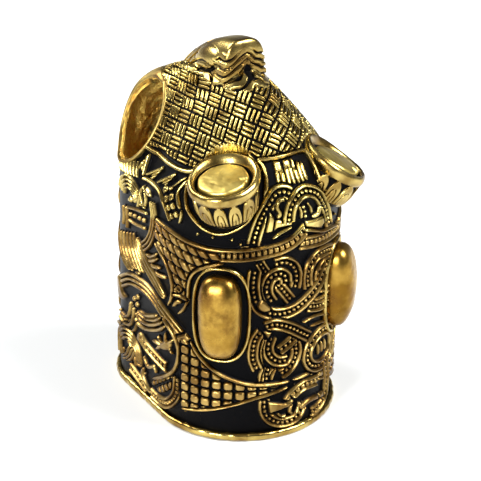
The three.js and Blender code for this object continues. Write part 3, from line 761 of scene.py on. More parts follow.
def weave_cells(points):
    """Cell coordinates on the left half, as if cloth were pressed on from the front quarter."""
    across, up = quarter_axes()
    a = points @ across - WEAVE_ORIGIN[0]
    b = points @ up - WEAVE_ORIGIN[1]
    dip, lean = math.radians(ROW["dip"]), math.radians(COLUMN["lean"])
    step = np.array(((ROW["pitch"] * math.cos(dip), COLUMN["pitch"] * math.cos(lean)),
                     (-ROW["pitch"] * math.sin(dip), COLUMN["pitch"] * math.sin(lean))))
    turned = np.linalg.inv(step)
    column = turned[0, 0] * a + turned[0, 1] * b
    row = turned[1, 0] * a + turned[1, 1] * b
    return column - 0.35 * np.maximum(0, -column - 1.2), row


def weave(points):
    """Height of a basket weave whose cells hold three bars, upright and lying by turns."""
    x = points[..., 0]
    folded = np.stack([-np.abs(x), points[..., 1], points[..., 2]], -1)
    column, row = weave_cells(folded)
    middle_column, middle_row = weave_cells(points * (0, 1, 1))
    seam = sum(weave_cells(RIDGE_POINT))
    slip = 0.5 * (middle_column + middle_row - seam) * np.exp(-(x / 3) ** 2)
    column, row = column - slip, row - slip
    column, row = np.where(x > 0, seam - row, column), np.where(x > 0, seam - column, row)
    i, j = np.round(column), np.round(row)
    u, v = column - i, row - j
    upright = (i + j) % 2 == 0
    along, through = np.where(upright, v, u), np.where(upright, u, v)
    bar = np.abs((through + 0.5) * 3 % 1 - 0.5) * 2
    crown = np.clip(1 - (bar / 0.78) ** 2, 0, 1) ** 0.5
    ends = np.clip(1 - (np.abs(along) / 0.45) ** 8, 0, 1) ** 0.5
    return crown * ends * 0.97


# ------------------------------------------------------------------ mesh building

def full_circle(count):
    """Evenly spaced angles, once round."""
    return np.linspace(0, 2 * math.pi, count + 1)[:-1]


def squared_circle(angle, power):
    """Cosine and sine bent towards a square."""
    cos, sin = np.cos(angle), np.sin(angle)
    return np.sign(cos) * np.abs(cos) ** power, np.sign(sin) * np.abs(sin) ** power


def add_object(name, data):
    thing = bpy.data.objects.new(name, data)
    bpy.context.scene.collection.objects.link(thing)
    return thing


def smooth_mesh(name, points, faces, material, normals=None, tones=None):
    """A shaded mesh. Its tones say how worn each point is, from dark patina at 0 to bright brass at 1."""
    mesh = bpy.data.meshes.new(name)
    points = np.asarray(points, float).reshape(-1, 3)
    placed = (points + (ORIGIN_X, ORIGIN_Y, 0)) * MM
    mesh.vertices.add(len(placed))
    mesh.vertices.foreach_set("co", placed.ravel())
    faces = [np.asarray(group, np.int32) for group in faces if len(group)]
    sizes = np.concatenate([np.full(len(group), group.shape[1]) for group in faces])
    corners = np.concatenate([group.ravel() for group in faces])
    mesh.loops.add(len(corners))
    mesh.loops.foreach_set("vertex_index", corners)
    mesh.polygons.add(len(sizes))
    starts = np.concatenate([[0], np.cumsum(sizes)[:-1]])
    mesh.polygons.foreach_set("loop_start", starts.astype(np.int32))
    mesh.polygons.foreach_set("loop_total", sizes.astype(np.int32))
    mesh.polygons.foreach_set("use_smooth", np.ones(len(sizes), bool))
    mesh.update(calc_edges=True)
    if tones is not None:
        layer = mesh.attributes.new("relief", "FLOAT", "POINT")
        layer.data.foreach_set("value", np.asarray(tones, float).ravel())
    if normals is not None:
        mesh.normals_split_custom_set_from_vertices(np.asarray(normals, float).reshape(-1, 3))
    mesh.validate()
    mesh.materials.append(material)
    return add_object(name, mesh)


def grid_faces(rows, columns, closed=False):
    """Four-cornered faces of a grid of points. A closed grid joins its last column to its first."""
    wrap = columns if closed else columns - 1
    j, i = np.meshgrid(np.arange(rows - 1), np.arange(wrap), indexing="ij")
    nxt = (i + 1) % columns
    quads = np.stack([j * columns + i, j * columns + nxt, (j + 1) * columns + nxt, (j + 1) * columns + i], -1)
    return quads.reshape(-1, 4)


def grid_normals(points, closed=False):
    if closed:
        padded = np.concatenate([points[:, -1:], points, points[:, :1]], 1)
        across = padded[:, 2:] - padded[:, :-2]
    else:
        across = np.gradient(points, axis=1)
    up = np.gradient(points, axis=0)
    normals = np.cross(across, up)
    length = np.linalg.norm(normals, axis=-1, keepdims=True)
    return normals / np.maximum(length, 1e-12)


def place(piece, slot, *nodes):
    """Says which body a piece rides on and which CAD nodes it replaces. Its slot is not used."""
    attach(piece, "root")
    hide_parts(*nodes)


# ------------------------------------------------------------------ materials

def new_material(name):
    material = bpy.data.materials.new(name)
    material.use_nodes = True
    tree = material.node_tree
    return material, tree, tree.nodes["Principled BSDF"]


def noise_node(tree, scale, detail=3.0, roughness=0.55):
    coords = tree.nodes.new("ShaderNodeTexCoord")
    noise = tree.nodes.new("ShaderNodeTexNoise")
    noise.inputs["Scale"].default_value = scale
    noise.inputs["Detail"].default_value = detail
    noise.inputs["Roughness"].default_value = roughness
    tree.links.new(coords.outputs["Object"], noise.inputs["Vector"])
    return noise


def ramp_node(tree, source, stops):
    """A colour ramp. A stop's colour has three parts, or one for grey."""
    ramp = tree.nodes.new("ShaderNodeValToRGB")
    while len(ramp.color_ramp.elements) < len(stops):
        ramp.color_ramp.elements.new(0.5)
    for element, (position, colour) in zip(ramp.color_ramp.elements, stops):
        element.position = position
        element.color = (*colour, 1) if len(colour) == 3 else (colour[0],) * 3 + (1,)
    tree.links.new(source, ramp.inputs["Fac"])
    return ramp.outputs["Color"]


def mix_colour(tree, factor, first, second):
    mix = tree.nodes.new("ShaderNodeMix")
    mix.data_type = "RGBA"
    tree.links.new(factor, mix.inputs["Factor"])
    for value, socket in ((first, mix.inputs["A"]), (second, mix.inputs["B"])):
        if isinstance(value, tuple):
            socket.default_value = (*value, 1)
        else:
            tree.links.new(value, socket)
    return mix.outputs["Result"]


def blend(tree, noise, low, high, first, second, most=1.0):
    """A colour that goes from the first to the second where a noise rises from low to high."""
    factor = ramp_node(tree, noise.outputs["Fac"], [(low, (0.0,)), (high, (most,))])
    return mix_colour(tree, factor, first, second)


def bumpy(tree, shader, noise, strength, distance):
    bump = tree.nodes.new("ShaderNodeBump")
    bump.inputs["Strength"].default_value = strength
    bump.inputs["Distance"].default_value = distance
    tree.links.new(noise.outputs["Fac"], bump.inputs["Height"])
    tree.links.new(bump.outputs["Normal"], shader.inputs["Normal"])


def varied_roughness(tree, shader, value, low, high):
    """Roughness that runs from low to high as the value runs from 0 to 1."""
    shine = tree.nodes.new("ShaderNodeMapRange")
    shine.inputs["To Min"].default_value = low
    shine.inputs["To Max"].default_value = high
    tree.links.new(value, shine.inputs["Value"])
    tree.links.new(shine.outputs["Result"], shader.inputs["Roughness"])


GOLD_BROWN = (0.13, 0.06, 0.012)
PATINA = (0.0045, 0.0045, 0.005)
# The inside's two tones are brighter than the outer brass: painted light, for light that comes in through the
# windows.
INSIDE_DARK, INSIDE_LIGHT = (0.72, 0.33, 0.03), (1.0, 0.74, 0.17)
# Dark colour for blotches of painted shade inside the cavity.
PAINTED_SHADE_DARK = (0.03, 0.014, 0.004)


def antiqued_brass(name, low, high, gold_rough, light, deep, grit=0.4):
    """Polished high points that fall to near-black patina in the hollows, between tones low and high."""
    material, tree, shader = new_material(name)
    attribute = tree.nodes.new("ShaderNodeAttribute")
    attribute.attribute_name = "relief"
    speckle = noise_node(tree, 2600, 2)
    uneven = tree.nodes.new("ShaderNodeMath")
    uneven.operation = "MULTIPLY_ADD"
    uneven.inputs[1].default_value = 0.1
    tree.links.new(speckle.outputs["Fac"], uneven.inputs[0])
    tree.links.new(attribute.outputs["Fac"], uneven.inputs[2])
    wear = ramp_node(tree, uneven.outputs["Value"], [(low + 0.06, (0.0,)), (high + 0.06, (1.0,))])
    gold = blend(tree, noise_node(tree, 420, 4), 0.4, 0.62, deep, light)
    stained = blend(tree, noise_node(tree, 150, 3), 0.52, 0.72, gold, GOLD_BROWN, 0.7)
    tree.links.new(mix_colour(tree, wear, PATINA, stained), shader.inputs["Base Color"])
    shader.inputs["Metallic"].default_value = 1.0
    varied_roughness(tree, shader, wear, 0.5, gold_rough)
    bumpy(tree, shader, noise_node(tree, 2400, 4, 0.65), grit, 0.00004)
    return material


def polished_brass(name, rough, bump, stain, light, deep):
    """Smooth worn brass with soft dents and faint tarnish."""
    material, tree, shader = new_material(name)
    gold = blend(tree, noise_node(tree, 330, 4), 0.36, 0.62, deep, light)
    stained = blend(tree, noise_node(tree, 210, 5, 0.7), 0.5, 0.66, gold, GOLD_BROWN, stain)
    tree.links.new(stained, shader.inputs["Base Color"])
    shader.inputs["Metallic"].default_value = 1.0
    varied_roughness(tree, shader, noise_node(tree, 700, 3).outputs["Fac"], rough - 0.05, rough + 0.16)
    bumpy(tree, shader, noise_node(tree, 520, 3), bump, 0.0002)
    return material


def cast_interior(name):
    """Unpolished casting inside: warm and pitted, its tones brightened as painted light, with dark blotches
    of painted shade.
    """
    material, tree, shader = new_material(name)
    pits = noise_node(tree, 1500, 5, 0.7)
    tint = blend(tree, pits, 0.3, 0.7, INSIDE_DARK, INSIDE_LIGHT)
    # Blotches of painted shade over the inside's tint.
    shade_blotched = blend(tree, noise_node(tree, 260, 3), 0.56, 0.66, tint, PAINTED_SHADE_DARK, 0.85)
    tree.links.new(shade_blotched, shader.inputs["Base Color"])
    shader.inputs["Metallic"].default_value = 0.6
    shader.inputs["Roughness"].default_value = 0.33
    bumpy(tree, shader, pits, 0.8, 0.0005)
    return material


# Painted light and shade: the brass high up, the weave and the ear studs, gets lighter tones, and the brass
# lower down, the barrel's relief and the oval bosses, darker ones, as the light falls from above.
relief_brass_painted_shade = antiqued_brass("relief_brass_painted_shade", 0.25, 0.7, 0.28, (0.44, 0.295, 0.09), (0.17, 0.095, 0.024))
weave_brass_painted_light = antiqued_brass("weave_brass_painted_light", 0.3, 0.66, 0.26, (0.72, 0.57, 0.19), (0.27, 0.19, 0.05), 0.14)
collar_brass = antiqued_brass("collar_brass", 0.12, 0.5, 0.27, (0.56, 0.42, 0.13), (0.25, 0.16, 0.04))
worn_brass = polished_brass("worn_brass", 0.18, 0.2, 0.6, (0.56, 0.42, 0.12), (0.25, 0.14, 0.03))
boss_brass_painted_shade = polished_brass("boss_brass_painted_shade", 0.24, 0.2, 0.9, (0.44, 0.27, 0.05), (0.20, 0.10, 0.012))
stud_brass_painted_light = polished_brass("stud_brass_painted_light", 0.36, 0.3, 0.3, (0.72, 0.57, 0.16), (0.42, 0.30, 0.07))
lip_brass = polished_brass("lip_brass", 0.36, 0.3, 0.95, (0.42, 0.30, 0.09), (0.16, 0.10, 0.025))
inside_brass = cast_interior("inside_brass")

# ------------------------------------------------------------------ barrel

RELIEF_DEPTH = 0.42
STRETCHES = {"front": (-9.0, 9.0), "right": (9.0, 25.0), "back": (25.0, 43.8), "left": (-25.0, -9.0)}
DETAIL = 0.07      # mesh spacing in millimetres

relief = Relief(-25.4, 44.2, 0.0, 29.6)
left = Side(relief, 1.0)
right = Side(relief, -1.0)
back_interlace(relief)
for side in (left, right):
    gripping_beast(side)
    lower_scales(side)
    waist_scales(side)
    ear_surround(side)
front_knot(relief)
relief.soften()


def turn_of(s):
    """Turn, from -1 to 1, of places in millimetres along the outline, wherever they start counting."""
    return ((s + HALF_OUTLINE) % (2 * HALF_OUTLINE) - HALF_OUTLINE) / HALF_OUTLINE


def barrel_panel(name, low_s, high_s, low_z, high_z):
    """Part of the wall between two places on the outline, with its relief."""
    columns = int((high_s - low_s) / DETAIL)
    rows = int((high_z - low_z) / DETAIL)
    wide_s = np.linspace(low_s - DETAIL, high_s + DETAIL, columns + 2)
    wide_z = np.linspace(low_z - DETAIL, high_z + DETAIL, rows + 2)
    s, z = np.meshgrid(wide_s, wide_z)
    height = relief.sample(s, z)
    points = wall_or_dome(turn_of(s), z, (height - 1) * RELIEF_DEPTH)
    core = (slice(1, -1), slice(1, -1))
    faces = [grid_faces(rows, columns)]
    piece = smooth_mesh(name, points[core], faces, relief_brass_painted_shade, grid_normals(points)[core], height[core])
    place(piece, "antiqued_brass", "barrel")


for name, (low_s, high_s) in STRETCHES.items():
    barrel_panel("barrel_" + name, low_s, high_s, RIM_HEIGHT - 0.1, SPLIT)

# ------------------------------------------------------------------ hood

WEAVE_DEPTH = 0.3
POCKET_FLOOR = -0.55                # height on an ear's axis
SKIRT_LENGTH = 3.0                  # longest run of the skin from the barrel's top to the shoulder
DOME_LENGTH = 16.5                  # longest run from the shoulder to the platform


def ear_axes(name):
    """Origin, two directions in the plane of the ear's disc, and the disc's axis."""
    ear = EARS[name]
    axis = np.array(ear["lean"], float)
    axis /= np.linalg.norm(axis)
    across = np.cross((0, 1, 0), axis)
    across /= np.linalg.norm(across)
    return np.array((ear["side"] * EAR["x"], EAR["y"], ear["z"])), across, np.cross(axis, across), axis


def ear_pockets(points):
    """Sinks the skin under the ears, so that their rims stand free. Also gives how near and how sunk."""
    near = np.zeros(points.shape[:-1])
    sunk = near.copy()
    for name in EARS:
        origin, _, _, axis = ear_axes(name)
        offset = points - origin
        height = offset @ axis
        radial = np.linalg.norm(offset - height[..., None] * axis, axis=-1)
        share = smooth(3.6, 3.4, radial) * (height > POCKET_FLOOR)
        points = points - axis * ((height - POCKET_FLOOR) * share)[..., None]
        near = np.maximum(near, smooth(3.8, 3.62, radial) * (height > POCKET_FLOOR))
        sunk = np.maximum(sunk, share)
    return points, near, sunk


def window_size(points, grow=0.0):
    """Distance from a side window's middle: 1 on its outline, grown by a margin."""
    y, z = points[..., 1] - WINDOW["y"], points[..., 2] - WINDOW["z"]
    cos, sin = math.cos(WINDOW["lean"]), math.sin(WINDOW["lean"])
    across, upright = y * cos - z * sin, y * sin + z * cos
    return np.hypot(across / (WINDOW["half_depth"] + grow), upright / (WINDOW["half_height"] + grow))


def behind_window(points):
    """The skin lies a little lower round the back edge of a side window."""
    return 0.42 * smooth(1.9, 1.2, window_size(points)) * smooth(-0.6, 2.2, points[..., 1] - WINDOW["y"])


def in_window(points, grow):
    """Whether points lie inside a side window, clear of the middle plane."""
    return (window_size(points, grow) < 1) & (np.abs(points[..., 0]) > WINDOW_INNER - 0.3)


def hood_panel(name, low_s, high_s):
    """Part of the hood between two places on the outline: wall below the shoulder, dome above it."""
    columns = int((high_s - low_s) / DETAIL)
    low_rows = int(SKIRT_LENGTH / DETAIL)
    high_rows = int(DOME_LENGTH / DETAIL)
    wide_s = np.linspace(low_s - DETAIL, high_s + DETAIL, columns + 2)
    turn = turn_of(wide_s)
    start = shoulder_height(turn)
    low = np.linspace(0, 1, low_rows + 1)[:-1, None]
    low_z = (SPLIT - DETAIL) + (start[None] - SPLIT + DETAIL) * low
    sweep = np.linspace(0, 1, high_rows + 1)[:, None]
    turns = np.broadcast_to(turn, (low_rows + high_rows + 1, columns + 2))
    bare = np.concatenate([outline(turn[None], low_z), dome(turn[None], sweep)])
    z = bare[..., 2]
    over = smooth(-0.1, 0.1, z - weave_edge(turns * HALF_OUTLINE))
    height = relief.sample(np.broadcast_to(wide_s, z.shape), z) * (1 - over) + weave(bare) * over
    above = smooth(-0.1, 0.1, z - weave_top(bare[..., 0], bare[..., 1]))
    height = height * (1 - above) + snout_ridges(bare) * above
    inset = (1 - height) * (RELIEF_DEPTH + (WEAVE_DEPTH - RELIEF_DEPTH) * over) + behind_window(bare)
    points = np.concatenate([outline(turn[None], low_z, -inset[:low_rows]),
                             dome(turn[None], sweep, -inset[low_rows:])])
    points, near, sunk = ear_pockets(points)
    height = height * (1 - near) + 0.9 * (1 - smooth(0.5, 0.95, sunk)) * near
    normals = grid_normals(points)
    core = points[1:, 1:-1]
    faces = grid_faces(core.shape[0], columns)
    middles = core.reshape(-1, 3)[faces].mean(1)
    keep = ~in_window(middles, 0.5 * WINDOW["lip"])
    piece = smooth_mesh(name, core, [faces[keep]], weave_brass_painted_light, normals[1:, 1:-1], height[1:, 1:-1])
    place(piece, "antiqued_brass", "hood")


NOSTRIL = {"y": 2.7, "z": 35.1, "half_length": 2.2, "half_height": 1.2}


def nostril(points):
    """0 in the middle of a nostril's lobe and 1 at its edge."""
    y, z = points[..., 1] - NOSTRIL["y"], points[..., 2] - NOSTRIL["z"]
    return np.hypot(y / NOSTRIL["half_length"], (z + 0.2 * y) / NOSTRIL["half_height"])


def folds(value, pitch, groove=0.5):
    """Rounded ridges a pitch apart: 1 on a ridge and 0 in the groove between two."""
    return smooth(groove - 0.32, groove, np.abs(value / pitch % 1 - 0.5) * 2)


def snout_ridges(points):
    """Folds of the snout's skin: chevrons over the front, and a lobed nostril on each side."""
    x, y, z = points[..., 0], points[..., 1], points[..., 2]
    uneven = 0.1 * np.sin(2.3 * x + 1.7 * y + 0.5) + 0.06 * np.sin(5.1 * x - 2.2 * z)
    chevrons = folds(z + 0.55 * np.abs(x) + uneven, 0.64)
    beak = smooth(0.25, 0.6, np.hypot((x - 0.1) / 1.1, (z - 34.6) / 1.3))
    cheek = folds(z + 0.13 * (y - NOSTRIL["y"]) ** 2 + uneven, 0.8, 0.46)
    cheek = np.maximum(cheek, smooth(35.0, 35.3, z))
    on_side = smooth(1.0, 1.5, np.abs(x)) * smooth(0.6, 1.3, y)
    edge = np.maximum(smooth(0.05, 0.16, np.abs(nostril(points) - 1)), smooth(35.3, 35.6, z))
    crest = smooth(36.3, 36.7, z + 0.15 * np.abs(x)) + smooth(4.4, 5.6, y) * smooth(34.9, 35.3, z)
    ridges = chevrons * beak * (1 - on_side) + cheek * edge * on_side
    return np.clip(ridges + crest, 0, 1) * 0.97


for name, (low_s, high_s) in STRETCHES.items():
    hood_panel("hood_" + name, low_s, high_s)

# ------------------------------------------------------------------ inside of the casting

WINDOW_WALL = 0.5                   # the wall is cast thin round the side windows
BACK_TURN = 0.76                    # the windows end before the back wall begins
CAVITY_MIDDLE = np.array((0.0, 2.0, 17.0))
CAVITY_DROP = {"front": 3.6, "back": 0.8}


def cavity_drop(turn):
    """How far the cavity's shoulder lies below the skin's. The metal is thick under the ears and brow."""
    return CAVITY_DROP["front"] + (CAVITY_DROP["back"] - CAVITY_DROP["front"]) * smooth(0.3, 0.5,
                                                                                        np.abs(turn))


def casting_noise(points, size):
    """A gentle, repeatable unevenness from a few crossed waves, between -1 and 1."""
    x, y, z = (points[..., k] * (6.28 / size) for k in range(3))
    waves = np.sin(x + 1.3 * np.sin(0.7 * y + 0.4)) + np.sin(1.1 * y + 1.7 * np.sin(0.6 * z + 1.1))
    waves = waves + np.sin(0.9 * z + 1.1 * np.sin(0.8 * x + 2.3)) + 0.6 * np.sin(2.3 * x - 1.9 * z + y)
    return waves / 3.6


def interior():
    """The bore and the cavity under the dome, as rough as cast."""
    columns, low_rows, high_rows = 400, 140, 105
    turn = np.linspace(-1, 1, columns + 1)[:-1]
    drop = cavity_drop(turn)
    top = shoulder_height(turn) - drop
    low_z = 0.05 + (top[None] - 0.05) * np.linspace(0, 1, low_rows + 1)[:-1, None]
    sweep = np.linspace(0, 1, high_rows + 1)[:, None]
    skin = np.concatenate([outline(turn[None], low_z), dome(turn[None], sweep, 0.0, drop[None])])
    beside = (np.abs(turn) > 0.3) & (np.abs(turn) < BACK_TURN + 0.06)
    thin = smooth(1.7, 1.1, window_size(skin)) * beside
    inner = -WALL + 0.02 + (WALL - WINDOW_WALL) * thin
    points = np.concatenate([outline(turn[None], low_z, inner[:low_rows]),
                             dome(turn[None], sweep, inner[low_rows:], drop[None])])
    lumps = 0.3 * casting_noise(points, 3.1) + 0.16 * casting_noise(points[..., ::-1], 1.3)
    rough = np.clip(0.3 + lumps, 0.02, 1) * (1 - 0.9 * thin)
    points = points + (CAVITY_MIDDLE - points) / 12 * rough[..., None]
    faces = grid_faces(points.shape[0], columns, closed=True)[:, ::-1]
    middles = points.reshape(-1, 3)[faces].mean(1)
    open_side = in_window(middles, 0.05) & (np.abs(turn)[faces % columns].max(1) < BACK_TURN)
    piece = smooth_mesh("interior", points, [faces[~open_side]], inside_brass)
    place(piece, "antiqued_brass", "barrel", "hood")


def rim_band():
    """The plain band round the mouth, rounded by wear, with the cut edge of the wall below."""
    columns = 700
    turn = np.linspace(-1, 1, columns + 1)[:-1]
    profile = [(-WALL, 0.75), (-WALL, 0.2), (-WALL + 0.12, 0.04), (-WALL + 0.35, 0.0), (-0.35, 0.0)]
    profile += [(-0.12, 0.03), (0.04, 0.14), (0.1, 0.32), (0.1, 0.52), (0.04, 0.68), (-0.1, 0.77),
                (-0.3, 0.8)]
    path = spline(profile, 0.06)
    path[:, 1] = np.clip(path[:, 1], 0, RIM_HEIGHT)
    path[:, 0] = np.minimum(path[:, 0], RIM_PROUD)
    dents = 0.035 * np.sin(turn * 61 + 1.4 * np.sin(turn * 17)) + 0.03 * np.sin(turn * 143 + 2)
    out = path[:, :1] - np.abs(dents[None]) * (path[:, :1] > -0.3) * smooth(0.05, 0.2, path[:, 1:])
    points = outline(turn[None], path[:, 1:], out)
    faces = grid_faces(len(path), columns, closed=True)
    place(smooth_mesh("rim_band_worn", points, [faces], worn_brass), "polished_brass", "rim_band")


def turn_at_depth(side, y, z):
    """Where along the outline the surface at height z reaches the depth y."""
    low, high = np.full(y.shape, 0.15), np.full(y.shape, 0.93)
    for _ in range(34):
        middle = (low + high) / 2
        short = wall_or_dome(middle, z)[..., 1] < y
        low, high = np.where(short, middle, low), np.where(short, high, middle)
    return side * (low + high) / 2


def window_ring(side, levels, broad_top):
    """Rows round a side window. Each level is a share of the lip's width and a height over the skin."""
    count = 300
    angle = full_circle(count)
    broad = broad_top * np.clip(np.sin(angle + 0.35), 0, 1) ** 4
    cos, sin = math.cos(WINDOW["lean"]), math.sin(WINDOW["lean"])
    rows = []
    for share, out in levels:
        grow = share * (WINDOW["lip"] - 0.12 + broad)
        across = (WINDOW["half_depth"] + grow) * np.cos(angle)
        upright = (WINDOW["half_height"] + grow) * np.sin(angle)
        y = WINDOW["y"] + across * cos + upright * sin
        z = WINDOW["z"] - across * sin + upright * cos
        point, _, _, outward = surface_frame(turn_at_depth(side, y, z), z)
        point = point - outward * behind_window(point)[..., None]
        rows.append(point + outward * out if out > -0.6 else point + np.array((side * out, 0, 0)))
    dense = resample_rows(np.stack(rows), 5)
    dense = dense + 0.015 * casting_noise(dense, 1.6)[..., None]
    faces = grid_faces(dense.shape[0], count, closed=True)
    return dense, faces if side < 0 else faces[:, ::-1]


def window_lip(name, side):
    """The smooth thin edge of a side window. It broadens at the top."""
    levels = [(0.0, -0.28), (0.0, -0.12), (0.12, 0.0), (0.4, 0.04), (0.8, 0.0), (1.0, -0.14), (1.05, -0.4)]
    points, faces = window_ring(side, levels, 0.95)
    piece = smooth_mesh("window_edge_" + name, points, [faces], lip_brass)
    place(piece, "polished_brass", "window_lip_" + name)


def window_wall(name, side):
    """The cut wall between the skin and the cavity, as rough as the inside."""
    points, faces = window_ring(side, [(0.1, -0.16), (0.0, -0.25), (0.0, -0.4), (0.2, -WINDOW_WALL - 0.06)],
                                0.0)
    points = points + 0.05 * casting_noise(points, 0.9)[..., None]
    piece = smooth_mesh("window_wall_" + name, points, [faces], inside_brass)
    place(piece, "antiqued_brass", "hood", "window_lip_" + name)


def resample_rows(points, steps):
    """Smooth rows between the given ones, along the first axis."""
    padded = np.concatenate([2 * points[:1] - points[1:2], points, 2 * points[-1:] - points[-2:-1]])
    rows = []
    for a, b, c, d in zip(padded[:-3], padded[1:-2], padded[2:-1], padded[3:]):
        for t in np.linspace(0, 1, steps, endpoint=False):
            rows.append(curve_point(a, b, c, d, t))
    rows.append(points[-1])
    return np.stack(rows)


# ------------------------------------------------------------------ ears

def turned(name, radius, height, angle, shift=(0.0, 0.0)):
    """Points of a turned shape on an ear's axis."""
    origin, across, along, axis = ear_axes(name)
    cos, sin = radius * np.cos(angle) + shift[0], radius * np.sin(angle) + shift[1]
    return origin + cos[..., None] * across + sin[..., None] * along + height[..., None] * axis


DRUM = [(1.4, -4.4), (2.1, -3.95), (2.6, -3.3), (2.92, -2.4), (3.03, -1.5), (3.05, -0.95)]
RIM = [(3.07, -0.82), (3.16, -0.6), (3.2, -0.3), (3.14, -0.05), (2.99, 0.12), (2.84, 0.17), (2.7, 0.12)]
GROOVE = [(2.62, -0.02), (2.56, -0.2), (2.54, -0.5), (2.3, -0.62)]
LEAVES = 12


def leaf_tone(angle, rise):
    """Upright leaves round a drum: 1 on a leaf, 0 between leaves and in the grooves drawn on them."""
    leaf = (angle * LEAVES / (2 * math.pi) + 0.1 * np.sin(3 * angle)) % 1 - 0.5
    half = 0.47 * np.sqrt(np.clip(1 - ((rise - 0.15) / 0.87) ** 4, 0, 1))
    tongue = 0.24 * np.sqrt(np.clip(1 - (np.maximum(rise - 0.1, 0) / 0.62) ** 3, 0, 1))
    edge = smooth(0, 0.07, half - np.abs(leaf))
    groove = smooth(0.02, 0.06, np.abs(np.abs(leaf) - tongue)) + smooth(0.66, 0.76, rise)
    middle = smooth(0.015, 0.05, np.abs(leaf)) + smooth(0.3, 0.45, rise)
    return edge * smooth(0.0, 0.08, rise) * np.clip(0.15 + groove, 0, 1) * np.clip(0.2 + middle, 0, 1)


def ear_cup(name):
    """A drum of upright leaves under a thick uneven rim."""
    count = 640
    angle = full_circle(count)
    path = spline(DRUM + RIM + GROOVE, 0.05)
    radius, height = path[:, :1] + 0 * angle, path[:, 1:] + 0 * angle
    leafy = smooth(-0.78, -0.95, height)
    leaves = leaf_tone(angle, np.clip((height + 3.5) / 2.55, 0, 1))
    tone = 1 - leafy * (1 - leaves)
    tone = tone * (1 - 0.97 * smooth(0.1, -0.1, height) * smooth(2.68, 2.58, radius))
    radius = radius - 0.22 * leafy * (1 - tone)
    wobble = 0.04 * np.sin(2 * angle + 0.6) + 0.03 * np.sin(5 * angle + 1) + 0.02 * np.sin(11 * angle)
    toward_dome = math.atan2(-EAR["y"], -EARS[name]["side"] * EAR["x"])
    heavy = 0.5 + 0.5 * np.cos(angle - toward_dome)
    on_rim = smooth(-0.85, -0.4, height) * smooth(2.5, 2.9, radius)
    radius = radius + (wobble + 0.4 * heavy ** 1.5) * on_rim
    height = height + (0.04 * np.sin(3 * angle + 2) + 0.55 * heavy ** 2) * on_rim
    points = turned(name, radius, height, np.broadcast_to(angle, radius.shape))
    piece = smooth_mesh("ear_drum_" + name, points, [grid_faces(len(path), count, closed=True)], collar_brass,
                        tones=tone)
    place(piece, "antiqued_brass", "ear_cup_" + name)


def ear_disc(name):
    """The low domed stud in an ear, a little out of round and hammered."""
    count = 200
    angle = full_circle(count)
    r = EAR["disc"] - 0.05
    path = spline([(r, -0.5), (r, -0.1), (r - 0.03, 0.1), (r - 0.16, 0.24), (r - 0.5, 0.31), (r - 1.2, 0.36),
                   (0.5, 0.4), (0.02, 0.4)], 0.07)
    radius, height = path[:, :1] + 0 * angle, path[:, 1:] + 0 * angle
    uneven = 0.015 * np.sin(2 * angle + 1) + 0.012 * np.sin(3 * angle) + 0.01 * np.sin(9 * angle)
    radius = radius * (1 + uneven)
    nick = np.exp(-((np.cos(angle + 0.85) - 1) / 0.006) ** 2) * smooth(1.3, 1.9, radius)
    height = height - 0.22 * nick
    points = turned(name, radius, height, np.broadcast_to(angle, radius.shape))
    axis = ear_axes(name)[3]
    points = points + (0.03 * casting_noise(points, 2.4) + 0.012 * casting_noise(points, 0.8))[...,
                                                                                               None] * axis
    piece = smooth_mesh("ear_stud_" + name, points, [grid_faces(len(path), count, closed=True)], stud_brass_painted_light)
    place(piece, "polished_brass", "ear_disc_" + name)


# ------------------------------------------------------------------ bosses, rings and the brow

def oval_boss(name, side):
    """A pillow-shaped polished boss."""
    count, levels = 260, 60
    across, upright = squared_circle(full_circle(count), 2 / OVAL["squareness"])
    bend = np.linspace(0, 1, levels)[:, None] * math.pi / 2
    size = np.cos(bend) ** 0.92
    height = 0.25 + (OVAL["proud"] - 0.3) * np.sin(bend) ** 0.9
    size = np.concatenate([[[0.98], [1.0]], size])
    height = np.concatenate([[[-0.5], [-0.1]], height])
    origin, along, up, outward = surface_frame(np.array(side * OVAL["turn"]), np.array(OVAL["z"]))
    width = OVAL["half_width"] * (1 + 0.04 * upright)
    points = origin + (size * width * across)[..., None] * along
    points = points + (size * OVAL["half_height"] * upright)[..., None] * up + height[..., None] * outward
    points = points + 0.025 * casting_noise(points, 2.4)[..., None] * outward
    piece = smooth_mesh("oval_stud_" + name, points, [grid_faces(len(size), count, closed=True)], boss_brass_painted_shade)
    place(piece, "polished_brass", "oval_boss_" + name)


def surface_bead(name, s, z, half_width, closed=False, ends=0.0):
    """A rounded wire that lies half sunk on the surface along s and z in millimetres."""
    s, z = np.asarray(s, float), np.asarray(z, float)
    point, _, _, outward = surface_frame(s / HALF_OUTLINE, z)
    if closed:
        forward = np.roll(point, -1, 0) - np.roll(point, 1, 0)
    else:
        forward = np.gradient(point, axis=0)
    forward /= np.linalg.norm(forward, axis=-1, keepdims=True)
    sideways = np.cross(outward, forward)
    angle = full_circle(14)
    share = np.arange(len(s)) / (len(s) - 1)
    taper = np.ones(len(s)) if closed or not ends else 0.15 + 0.85 * smooth(0, ends, np.minimum(share,
                                                                                                1 - share))
    reach = (half_width * (1 + 0.1 * np.sin(share * 47)) * taper)[:, None, None]
    ring = sideways[:, None] * np.cos(angle)[None, :, None] * reach
    ring = ring + outward[:, None] * (np.sin(angle)[None, :, None] * 0.34 * taper[:, None, None] - 0.26)
    points = point[:, None] + ring
    if closed:
        points = np.concatenate([points, points[:1]])
    tone = np.broadcast_to(0.35 + 0.75 * np.clip(np.sin(angle), 0, 1), points.shape[:2])
    return smooth_mesh(name, points, [grid_faces(len(points), len(angle), closed=True)[:, ::-1]],
                       collar_brass,
                       tones=tone)


def oval_ring(name, side):
    across, upright = squared_circle(full_circle(180), 0.75)
    s = side * OVAL["turn"] * HALF_OUTLINE + (OVAL["half_width"] + 0.7) * across
    z = OVAL["z"] + (OVAL["half_height"] + 0.62) * upright
    piece = surface_bead("oval_ring_" + name, s, z, 0.17, closed=True)
    place(piece, "antiqued_brass", "oval_collar_" + name)


